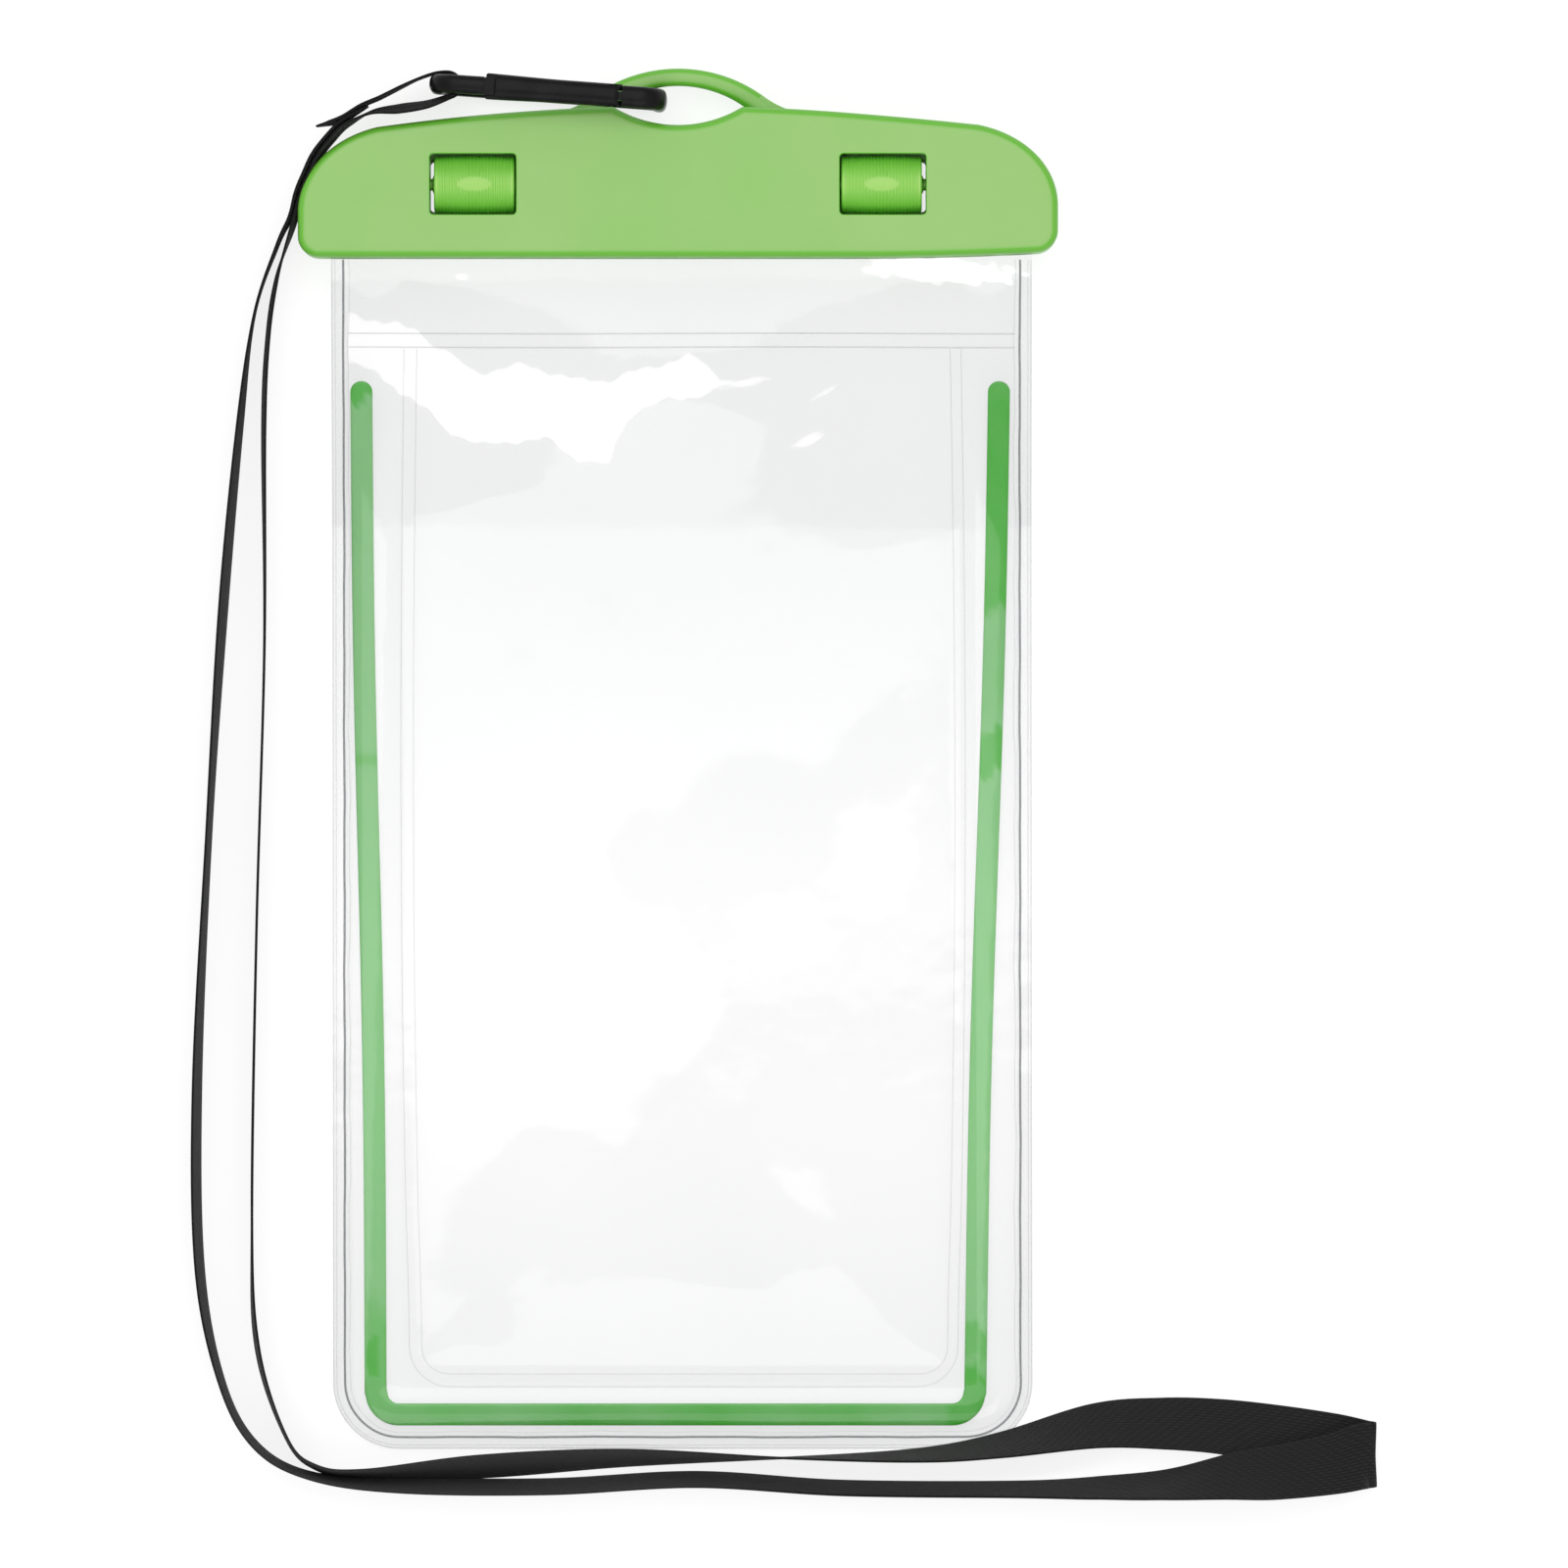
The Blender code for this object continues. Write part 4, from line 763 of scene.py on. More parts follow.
    def gusset(self, side: Side) -> bpy.types.Object:
        """Hollow-curved web at a root of the loop: a quadratic Bezier from the top edge to the outer arc."""
        low = self.bottom + self.crown(self.gusset_reach, self.wall)
        edge = self.bottom + self.crown(self.gusset_reach, 0.0)
        centre = self.bottom + self.loop_rise - self.loop_outer
        top_y = centre + math.sqrt(self.loop_outer ** 2 - self.gusset_top ** 2)
        slope = -self.gusset_top / (top_y - centre)
        start, end = np.array((self.gusset_reach, edge)), np.array((self.gusset_top, top_y))
        bend = np.array((self.gusset_top + (edge - top_y) / slope, edge))
        t = np.linspace(0.0, 1.0, 20)[:, None]
        curve = (1 - t) ** 2 * start + 2 * t * (1 - t) * bend + t ** 2 * end
        inside = self.gusset_top - self.wall / 2
        root = [(inside, low), (self.gusset_reach, low)]
        outline = np.concatenate([root, curve, [(inside, top_y - self.wall / 2)]])
        top = self.parting - 2 * self.loop_base
        foot = top - self.loop_depth + 2 * self.loop_base
        return prism(f"gusset_{side.name}", outline * (side.value, 1.0), foot, top)

    def rear(self, finish: bpy.types.Material) -> bpy.types.Object:
        """The rear jaw: a shell with the lanyard loop, two windows and a keeper bar across each."""
        jaw = self.plate("rear_jaw_shell", 0.0, self.parting, self.rear_round, self.parting_round, finish)
        over = self.parting + self.gap
        windows = [hole for side in Side for hole in self.rear_windows(side)]
        carve(jaw, [self.rod(), self.gusset(Side.LEFT), self.gusset(Side.RIGHT)],
              self.pockets(self.skin, over) + windows)
        reach = (self.window_width + self.window_wall) / 2
        y, z = self.window_y, self.parting - self.keeper_radius
        keepers = [round_bar(f"keeper_{side.name}", (side.value * self.window_x - reach, y, z),
                             (side.value * self.window_x + reach, y, z), self.keeper_radius, sides=24)
                   for side in Side]
        floor = self.parting - self.film - self.gap
        return carve(jaw, keepers, self.film_band(floor, over, floor - self.seal_thickness - self.gap, over))

    def assemble(self, plastic: bpy.types.Material, foam: bpy.types.Material) -> None:
        """Build both jaws and finish the two seals."""
        dress(self.front(plastic), Body.FRONT, ("front_jaw",))
        dress(self.rear(plastic), Body.POUCH, ("rear_jaw",))
        for name in ("rear_seal", "front_seal"):
            refinish(name, foam)


def refinish(node: str, finish: bpy.types.Material) -> None:
    """Give a CAD node that stays in view its own material."""
    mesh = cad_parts[node].data
    mesh.materials.clear()
    mesh.materials.append(finish)


# Barrel knobs


@dataclass
class BarrelKnob:
    """A barrel that turns on two stub pins: ribbed round a smooth thumb spot, with a hooking slot behind."""

    side: Side
    place_x: float = 0.0313
    place_y: float = 0.0877
    place_z: float = 0.0074
    radius: float = 0.00445
    length: float = 0.0123
    shift: float = 0.00020
    crown: float = 0.0002
    end_round: float = 0.00035
    rib_pitch: float = 0.00052
    rib_depth: float = 0.00013
    rib_reach: float = 0.0053
    spot_length: float = 0.0024
    spot_angle: float = math.radians(15.0)
    orbit: float = 0.0025
    slot_half: float = 0.00085
    lock_turn: float = math.radians(84.0)
    boss_radius: float = 0.0014
    boss_length: float = 0.0006
    stub_radius: float = 0.0009
    reach: float = 0.0081

    def slot(self) -> Array:
        """Outline of the slot that hooks the keeper bar: an outer arc, a round end and an inner arc back."""
        down, half = -np.pi / 2, self.slot_half
        outer, inner = self.orbit + half, self.orbit - half
        end = down - self.lock_turn
        a = np.linspace(down - math.asin(half / outer), end, 20)
        b = end - np.pi * np.linspace(0.0, 1.0, 12)[1:-1]
        c = np.linspace(end, down + math.asin(half / inner), 20)
        middle = self.orbit * np.array((math.cos(end), math.sin(end)))
        return np.concatenate([outer * np.column_stack([np.cos(a), np.sin(a)]),
                               middle + half * np.column_stack([np.cos(b), np.sin(b)]),
                               inner * np.column_stack([np.cos(c), np.sin(c)])])

    def barrel(self, finish: bpy.types.Material) -> bpy.types.Object:
        """The barrel: radius less a crown of (2x/L)^2, end rounds and cosine ribs outside the thumb spot."""
        half, flat = self.length / 2, self.length / 2 - self.end_round
        x = stops([-half, -flat, flat, half], [0.06 * MM, 0.075 * MM, 0.06 * MM])
        mouth = math.asin(self.slot_half / self.radius)
        angle = np.linspace(-np.pi / 2 + mouth, 1.5 * np.pi - mouth, 110)
        grid_x, grid_a = np.meshgrid(x, angle, indexing="ij")
        off = np.abs((grid_a - np.pi / 2 + np.pi) % (2 * np.pi) - np.pi)
        spot = (grid_x / self.spot_length) ** 2 + (off / self.spot_angle) ** 2
        ribs = (0.5 - 0.5 * np.cos(2 * np.pi * grid_x / self.rib_pitch)) ** 1.5
        fade = ease(spot, 0.9, 1.35) * (1 - ease(np.abs(grid_x), self.rib_reach, self.rib_reach + 0.5 * MM))
        over = np.clip(np.abs(grid_x) - flat, 0.0, None)
        edge = self.end_round - np.sqrt(np.clip(self.end_round ** 2 - over ** 2, 0.0, None))
        radius = self.radius - self.crown * (grid_x / half) ** 2 - edge - self.rib_depth * ribs * fade
        barrel = np.stack([grid_x, radius * np.cos(grid_a), radius * np.sin(grid_a)], axis=2)
        slot = self.slot()
        inside = np.empty((len(x), len(slot), 3))
        inside[:, :, 0] = x[:, None]
        inside[:, :, 1:] = slot[None]
        place = np.array((self.side.value * self.place_x, self.place_y, self.place_z))
        rings = np.concatenate([barrel, inside], axis=1) + place + (-self.side.value * self.shift, 0.0, 0.0)
        return build(f"{self.side.name.lower()}_knob_barrel", tube(rings), finish)

    def stubs(self) -> list[bpy.types.Object]:
        """The two stub pins with the bosses that carry them out of the barrel's ends."""
        place = np.array((self.side.value * self.place_x, self.place_y, self.place_z))
        tools = []
        for end in (-1, 1):
            face = -self.side.value * self.shift + end * self.length / 2
            root, tip = face - end * self.boss_length, end * self.reach
            shares = np.array([0.0, (face + end * 0.1 * MM - root) / (tip - root),
                               (face + end * self.boss_length / 2 - root) / (tip - root),
                               (tip - end * 0.15 * MM - root) / (tip - root), 1.0])
            radii = np.array([self.boss_radius, self.boss_radius, self.stub_radius, self.stub_radius,
                              self.stub_radius - 0.15 * MM])
            start, stop = place + (root, 0.0, 0.0), place + (tip, 0.0, 0.0)
            tools.append(round_bar(f"stub_{end}", start, stop, radii, shares))
        return tools

    def assemble(self, plastic: bpy.types.Material) -> None:
        """Build the knob in one mesh and let it ride on its lock."""
        knob = carve(self.barrel(plastic), self.stubs(), [], 50.0)
        body = Body.LEFT_LOCK if self.side is Side.LEFT else Body.RIGHT_LOCK
        dress(knob, body, (f"{self.side.name.lower()}_knob",))


# Bag


@dataclass
class PaintedHighlight:
    """A small painted highlight on the film, where it mirrors more and its tone is cleared: an ellipse with
    its centre, half axes and turn in degrees.
    """

    x: float
    y: float
    along: float
    across: float
    turn: float


# The big painted highlight under the band: (x, upper y, lower y) in millimetres, read between by straight
# lines.
PAINTED_HIGHLIGHT_PATCH = np.array([
    (-50.5, 68.0, 60.5), (-47.4, 67.2, 59.2), (-45.7, 66.8, 58.1), (-40.2, 65.5, 54.6), (-36.0, 62.6, 51.0),
    (-34.8, 61.8, 50.0), (-31.0, 59.3, 48.4), (-29.8, 59.4, 47.9), (-23.5, 60.5, 48.8), (-19.7, 59.4, 48.8),
    (-15.5, 58.1, 45.8), (-10.5, 58.2, 44.6), (-9.2, 58.5, 49.6), (-6.7, 59.4, 53.4), (-0.4, 61.2, 55.0),
    (1.7, 61.7, 55.2), (3.8, 60.9, 55.6), (5.9, 58.9, 56.0), (8.7, 57.9, 57.4),
])


@dataclass
class FilmBag:
    """The two clear films of the bag, their welds and the embossed band across the top."""

    half: float = 0.0536
    bottom: float = -0.1058
    corner: float = 0.0102
    top: float = 0.08155
    clamp_bottom: float = 0.07655
    aside: float = 0.0005
    aside_foot: float = 0.0002
    back_top: float = 0.00505
    rise_start: float = 0.0430
    thickness: float = 0.00035
    lift: float = 0.0007
    edge_weld: float = 0.0021
    channel: float = 0.0088
    channel_rise: float = 0.0021
    inner_weld: float = 0.0016
    pillow: float = 0.0052
    flank: float = 0.155
    band: tuple = (0.0629, 0.0650)
    ripples: tuple = ((0.30, 92, 61, 0.6), (0.14, -70, 151, 2.1), (0.05, 260, 190, 4.0))
    tone: float = 0.022
    tone_upper: float = 0.100
    tone_foot: float = 0.060
    tone_cloud: float = 0.006
    tone_weld: float = 0.004
    blend_from: tuple = (0.0, 0.050, 0.0066)
    blend_to: tuple = (0.0, 0.0762, 0.0066)
    # small painted highlights on the film
    painted_highlights: tuple = (PaintedHighlight(0.0405, 0.0746, 0.0112, 0.0019, -4.0), PaintedHighlight(0.0330, 0.0752, 0.0040, 0.0010, 8.0),
                     PaintedHighlight(0.0200, 0.0487, 0.0026, 0.0008, 25.0), PaintedHighlight(-0.0329, 0.0736, 0.0010, 0.0005, 0.0),
                     PaintedHighlight(0.0105, 0.0575, 0.0035, 0.0006, 12.0), PaintedHighlight(0.0225, 0.0560, 0.0030, 0.0004, 30.0))

    def aside_at(self, y: Array) -> Array:
        """How far the bag lies to the right of the clamp's middle, a little more at its foot."""
        return self.aside + self.aside_foot * (self.top - y) / (self.top - self.bottom)

    def inward(self, x: Array, y: Array) -> Array:
        """Distance inwards from the bag's edge, which has round lower corners and an open top."""
        past_x = np.abs(x - self.aside_at(y)) - (self.half - self.corner)
        past_y = self.bottom + self.corner - y
        outside = np.hypot(np.maximum(past_x, 0.0), np.maximum(past_y, 0.0))
        return self.corner - outside - np.minimum(np.maximum(past_x, past_y), 0.0)

    def back(self, y: Array) -> Array:
        """Height of the back film's underside: flat, then a smooth climb to the clamp."""
        return self.back_top * ease(y, self.clamp_bottom - self.rise_start, self.clamp_bottom - 0.0003)

    def front_height(self, x: Array, y: Array) -> Array:
        """Height of the front film's underside.

        From the edge inwards: the weld, a half-round channel, the inner weld and a pillow with straight
        flanks that round off as tanh, with long low ripples. All of it fades towards the clamp, while the
        back film climbs.
        """
        inward = self.inward(x, y)
        share = np.clip((inward - self.edge_weld) / self.channel, 0.0, 1.0)
        hump = self.channel_rise * np.sqrt(1 - (2 * share - 1) ** 2)
        start = self.edge_weld + self.channel + self.inner_weld
        ramp = np.clip(inward - start, 0.0, None) * self.flank
        rise = self.pillow * np.tanh(ramp / self.pillow)
        fade = 1 - ease(y, self.clamp_bottom - self.rise_start, self.clamp_bottom - 0.0003)
        free = ease(inward, start, start + 0.015) * (1 - ease(y, self.band[0] - 0.012, self.band[0]))
        ripple = MM * sum(height * np.sin(by_x * x + by_y * y + phase)
                          for height, by_x, by_y, phase in self.ripples)
        return self.back(y) + self.lift + (hump + rise) * fade + ripple * free

    def painted_highlight(self, x: Array, y: Array) -> Array:
        """Where a highlight is painted on the film: 0.5 plus a sixth of the distance inside a patch's edge in
        mm, 0 to 1.
        """
        waver = 0.35 * np.sin(700 * x) + 0.25 * np.sin(1900 * x + 2 * np.sin(500 * y)) + 0.2 * np.sin(400 * y)
        upper = np.interp(x / MM, PAINTED_HIGHLIGHT_PATCH[:, 0], PAINTED_HIGHLIGHT_PATCH[:, 1], left=-200.0, right=-200.0) + waver
        lower = np.interp(x / MM, PAINTED_HIGHLIGHT_PATCH[:, 0], PAINTED_HIGHLIGHT_PATCH[:, 2]) - waver
        inside = np.minimum(upper - y / MM, y / MM - lower)
        for g in self.painted_highlights:
            turn = math.radians(g.turn)
            u = ((x - g.x) * math.cos(turn) + (y - g.y) * math.sin(turn)) / g.along
            v = ((y - g.y) * math.cos(turn) - (x - g.x) * math.sin(turn)) / g.across
            wave = 1 + 0.16 * np.sin(900 * x + 5 * v) + 0.08 * np.sin(2300 * x + 1.3)
            inside = np.maximum(inside, (1 - np.hypot(u, v) * wave) * g.across / MM)
        return np.clip(0.5 + inside / 6, 0.0, 1.0)

    def sheet(self, name: str, cols: Array, rows: Array, height: object, shares: dict,
              finish: bpy.types.Material) -> bpy.types.Object:
        """A film on a grid of columns and rows, whose rows narrow to follow the round lower corners.

        Args:
            name: the piece's name.
            cols: places across, from -half to half.
            rows: places along Y.
            height: function of x and y that gives the underside.
            shares: functions of x and y for the attributes that the finish reads.
            finish: its material.

        Returns:
            The film as a closed shell of the film's thickness.
        """
        past = np.clip(self.bottom + self.corner - rows, 0.0, self.corner)
        reach = self.half - self.corner + np.sqrt(self.corner ** 2 - past ** 2)
        y = np.repeat(rows[:, None], len(cols), axis=1)
        x = np.outer(reach, cols / self.half) + self.aside_at(y)
        z = height(x, y)
        under = np.stack([x, y, z], axis=2).reshape(-1, 3)
        over = under + (0.0, 0.0, self.thickness)
        count, wide, deep = len(under), len(cols), len(rows)
        quads = lattice(deep, wide)
        last = (deep - 1) * wide
        ring = np.concatenate([np.arange(wide), np.arange(1, deep) * wide + wide - 1,
                               last + np.arange(wide - 2, -1, -1), np.arange(deep - 2, 0, -1) * wide])
        after = np.roll(ring, -1)
        rim = np.column_stack([ring, after, after + count, ring + count])
        skin = Skin(np.concatenate([under, over]), np.concatenate([quads[:, ::-1], quads + count, rim]),
                    shares={key: np.tile(value(x, y).ravel(), 2) for key, value in shares.items()})
        return build(name, skin, finish)

    def columns(self, fine: float) -> Array:
        """Places across the bag, close together at the welds."""
        right = stops([0.0, 0.030, 0.038, 0.044, 0.050, self.half],
                      np.multiply([1.0, 0.9, 0.45, 0.8, 0.3], fine))
        return np.concatenate([-right[:0:-1], right])

    def rows(self, fine: float) -> Array:
        """Places along the bag, close together round the lower corners, at the welds and at the band."""
        low = self.bottom
        return stops([low, low + 0.0006, low + 0.003, low + 0.010, low + 0.015, 0.038, 0.078, self.top],
                     np.multiply([0.06, 0.3, 0.6, 0.45, 1.6, 0.5, 1.0], fine))

    def cloudiness(self, x: Array, y: Array) -> Array:
        """How grey the front film is: most towards the top, a little at the foot, in soft clouds."""
        cloud = (np.sin(55 * x + 1.2 * np.sin(40 * y + 0.5)) * np.sin(48 * y + 1.1 * np.sin(60 * x))
                 + 0.5 * np.sin(130 * x + 90 * y + 1.0))
        weld = 1 - ease(self.inward(x, y), 0.0, self.edge_weld)
        foot = 1 - ease(y, -0.095, -0.055)
        tone = self.tone + self.tone_upper * ease(y, -0.035, 0.045) + self.tone_foot * foot
        return np.clip(tone + self.tone_cloud * cloud + self.tone_weld * weld, 0.0, 1.0)

    def assemble(self, film: bpy.types.Material) -> None:
        """Build both films. The front one rises from the pouch to the front jaw."""
        back = self.sheet("back_film_sheet", self.columns(2.2 * MM), self.rows(2.2 * MM),
                          lambda x, y: self.back(y) + 0 * x, {"tone": lambda x, y: 0.01 + 0 * x}, film)
        dress(back, Body.POUCH, ("back_film",))
        # the front film carries its grey tone and where a highlight is painted
        front = self.sheet("front_film_sheet", self.columns(1.0 * MM), self.rows(1.0 * MM),
                           self.front_height, {"tone": self.cloudiness, "painted_highlight": self.painted_highlight}, film)
        self.bend(front)
        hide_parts("front_film", "front_collar_film")

    def bend(self, piece: bpy.types.Object) -> None:
        """Bake a piece of the front film's placement into its mesh and log it."""
        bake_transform(piece)
        LOG.info("%s bends with the front film (%d faces)", piece.name, len(piece.data.polygons))


@dataclass
class WeldLine:
    """A raised line in the front film: a low half round swept along a path."""

    name: str
    width: float
    rise: float
    tone: float

    def sweep(self, bag: FilmBag, path: Array, finish: bpy.types.Material) -> None:
        """Sweep the line along a path on the film; its section is w cos a by h sin a on a flat base.

        Args:
            bag: the bag whose film carries the line.
            path: array of (x, y) places.
            finish: the line's material.
        """
        path = path + np.column_stack([bag.aside_at(path[:, 1]), np.zeros(len(path))])
        z = bag.front_height(path[:, 0], path[:, 1]) + bag.thickness
        spine = np.column_stack([path, z])
        _, beside = frames(spine)
        angle = np.linspace(0.0, np.pi, 9)
        across = np.concatenate([np.cos(angle), [-1.0, 1.0]]) * self.width / 2
        above = np.concatenate([np.sin(angle) * self.rise, [-0.5 * bag.thickness] * 2])
        rings = spine[:, None, :] + across[None, :, None] * beside[:, None, :]
        rings[:, :, 2] += above
        skin = tube(rings)
        skin.shares["tone"] = np.full(len(skin.verts), self.tone)
        bag.bend(build(self.name, skin, finish, 60.0))


@dataclass
class Welds:
    """The lines of the edge weld, the inner U weld and the embossed band."""

    bag: FilmBag
    end: float = 0.0763
    band_inset: float = 0.0026

    def around(self, inset: float, wave: float = 0.0, count: int = 700) -> Array:
        """A line inside the bag's edge: down the left side, round both corners and up the right."""
        half, low, radius = self.bag.half - inset, self.bag.bottom + inset, self.bag.corner - inset
        left = corner_arc(-half, low, radius, 24)
        corner_points = np.concatenate([left, left[::-1] * (-1, 1)])
        path = np.concatenate([[(-half, self.end)], corner_points, [(half, self.end)]])
        path = resampled(path, count)
        share = np.linspace(0.0, 1.0, count)
        along = unit(np.gradient(path, axis=0))
        shift = wave * (np.sin(150 * share) + 0.6 * np.sin(67 * share + 1.0) + 0.4 * np.sin(390 * share))
        return path + shift[:, None] * np.column_stack([-along[:, 1], along[:, 0]])

    def inner_u(self, half_top: float, half_mid: float, half_low: float, foot: float, radius: float,
                skew: float) -> Array:
        """One edge of the U weld: its sides bow from the top past the middle to the foot's round corners."""
        y = np.linspace(self.bag.band[0] - 0.0002, foot + radius, 160)
        share = (y - y[-1]) / (y[0] - y[-1])
        bow = 4 * (half_mid - (half_top + half_low) / 2) * share * (1 - share)
        reach = half_low + (half_top - half_low) * share ** 2 + bow
        reach = np.where(share < 0.15, half_low + (reach - half_low) * ease(share, -0.05, 0.15), reach)
        left = np.concatenate([np.column_stack([-reach, y]), corner_arc(-half_low, foot, radius, 16)[1:]])
        right = left[::-1] * (-1, 1) + (skew, 0.0)
        return resampled(np.concatenate([left, right]), 600)

    def assemble(self, film: bpy.types.Material, seam: bpy.types.Material) -> None:
        """Build every line."""
        bag = self.bag
        x = np.linspace(-1.0, 1.0, 260) * (bag.half - self.band_inset)
        wavy = 0.05 * MM * np.sin(90 * x)
        for name, width, rise, tone, path, finish in (
                ("edge_weld_rim", 0.22, 0.12, 0.14, self.around(0.14 * MM), film),
                ("edge_weld_step", 0.18, 0.10, 0.08, self.around(0.60 * MM), film),
                ("edge_weld_seam", 0.34, 0.08, 1.0, self.around(1.84 * MM, 0.03 * MM), seam),
                ("edge_weld_ripple", 0.16, 0.08, 0.05, self.around(2.65 * MM, 0.10 * MM), film),
                ("u_weld_outer", 0.13, 0.05, 0.10,
                 self.inner_u(0.04245, 0.0432, 0.0419, -0.0962, 0.0062, 0.0003), film),
                ("u_weld_inner", 0.13, 0.05, 0.10,
                 self.inner_u(0.0405, 0.0413, 0.0400, -0.0943, 0.0042, 0.0006), film),
                ("band_emboss_lower", 0.24, 0.10, 0.16, np.column_stack([x, bag.band[0] + wavy]), film),
                ("band_emboss_upper", 0.24, 0.10, 0.16, np.column_stack([x, bag.band[1] + wavy]), film)):
            WeldLine(name, width * MM, rise * MM, tone).sweep(bag, path, finish)


@dataclass
class GlowStrip:
    """The U-shaped strip that lies loose in the channel between the welds."""

    bag: FilmBag
    width: float = 0.0034
    thickness: float = 0.0007
    radius: float = 0.0034
    top: float = 0.05610
    half_top: float = 0.04880
    half_foot: float = 0.04580
    aside_top: float = 0.0003
    aside_foot: float = -0.00045
    foot: float = 0.0053
    over_back: float = 0.0003
    legs_end: float = -0.0985

    def path(self) -> Array:
        """Centre line: a slightly bowed leg, a quarter circle, the foot, and the same mirrored."""
        top_x, foot_x = self.half_top, self.half_foot
        foot_y = self.bag.bottom + self.foot
        y = np.linspace(self.top, foot_y + self.radius, 220)
        share = (self.top - y) / (self.top - y[-1])
        x = -top_x + (top_x - foot_x) * share - 0.25 * MM * np.sin(np.pi * share * 2.2)
        corner = corner_arc(-foot_x, foot_y, self.radius, 24)[1:]
        left = np.concatenate([np.column_stack([x, y]), corner])
        foot = np.column_stack([np.linspace(left[-1, 0], -left[-1, 0], 120)[1:-1], np.full(118, foot_y)])
        line = np.concatenate([left, foot, left[::-1] * (-1, 1)])
        low = (self.top - line[:, 1]) / (self.top - foot_y)
        line[:, 0] += self.aside_top + (self.aside_foot - self.aside_top) * low
        return line

    def contact(self, x: Array, y: Array) -> Array:
        """How much the film lies on the strip: a long patch on the right leg, spots and patches below."""
        right = np.where(x > 0, 1.0, 0.0)
        waver = 0.8 * MM * np.sin(1500 * x) + 0.5 * MM * np.sin(4000 * x + 900 * y)
        v = y + waver
        long_patch = 0.95 * ease(v, 0.0215, 0.0240) * (1 - ease(v, 0.0545, 0.0570)) * right
        below = 0.22 * ease(v, 0.0040, 0.0090) * right
        spots = (0.75 * right * ease(v, -0.0030, -0.0018) * (1 - ease(v, 0.0040, 0.0052))
                 + 0.50 * (1 - right) * np.exp(-((y + 0.0002) / 0.0010) ** 2))
        cap = 0.85 * ease(v, 0.0545, 0.0552) * (1 - 0.4 * ease(y, 0.0572, 0.0578))
        medium = (0.48 * (1 - ease(v, -0.0880, -0.0800)) * (1 - right)
                  + 0.60 * right * (1 - ease(v, -0.0875, -0.0866)))
        stripe = 0.35 * right * np.exp(-((v + 0.0925) / 0.0007) ** 2)
        blob = (1 - right) * (1 - ease(np.hypot((x + 0.0467) / 0.0013, (v + 0.0922) / 0.0038), 0.75, 1.0))
        corner = right * (1 - ease(v, -0.0942, -0.0934)) * ease(x, 0.0395, 0.0420)
        foot = 0.66 + 0.14 * np.sin(75 * x + 1.0) + 0.10 * np.sin(310 * x)
        legs = np.maximum.reduce([long_patch, below, spots, cap, medium - stripe, 0.95 * blob, 0.95 * corner])
        whole = np.where(y < self.legs_end, np.maximum(foot, 0.95 * corner), legs)
        return np.clip(whole + 0.03 * np.sin(600 * y + 900 * x), 0, 1)

    def assemble(self, plastic: bpy.types.Material) -> None:
        """Sweep a flat superellipse along the path, with half-round ends."""
        flat = self.path()
        z = self.bag.back(flat[:, 1]) + self.bag.thickness + self.over_back + self.thickness / 2
        spine = np.column_stack([flat, z])
        along, beside = frames(spine)
        cap = np.radians(np.linspace(4.0, 88.0, 10))
        half = self.width / 2
        head = spine[:1] - along[:1] * half * np.cos(cap)[:, None]
        tail = spine[-1:] + along[-1:] * half * np.cos(cap[::-1])[:, None]
        centre = np.concatenate([head, spine, tail])
        side = np.concatenate([np.repeat(beside[:1], 10, 0), beside, np.repeat(beside[-1:], 10, 0)])
        wide = half * np.concatenate([np.sin(cap), np.ones(len(spine)), np.sin(cap[::-1])])
        c, s = swell(np.linspace(0.0, 2 * np.pi, 20, endpoint=False), 4.0)
        rings = centre[:, None, :] + (wide[:, None] * c)[:, :, None] * side[:, None, :]
        rings[:, :, 2] += self.thickness / 2 * s
        skin = tube(rings)
        skin.shares["tone"] = self.contact(skin.verts[:, 0], skin.verts[:, 1])
        dress(build("glow_strip_band", skin, plastic), Body.POUCH, ("glow_strip",))


# Spring hook


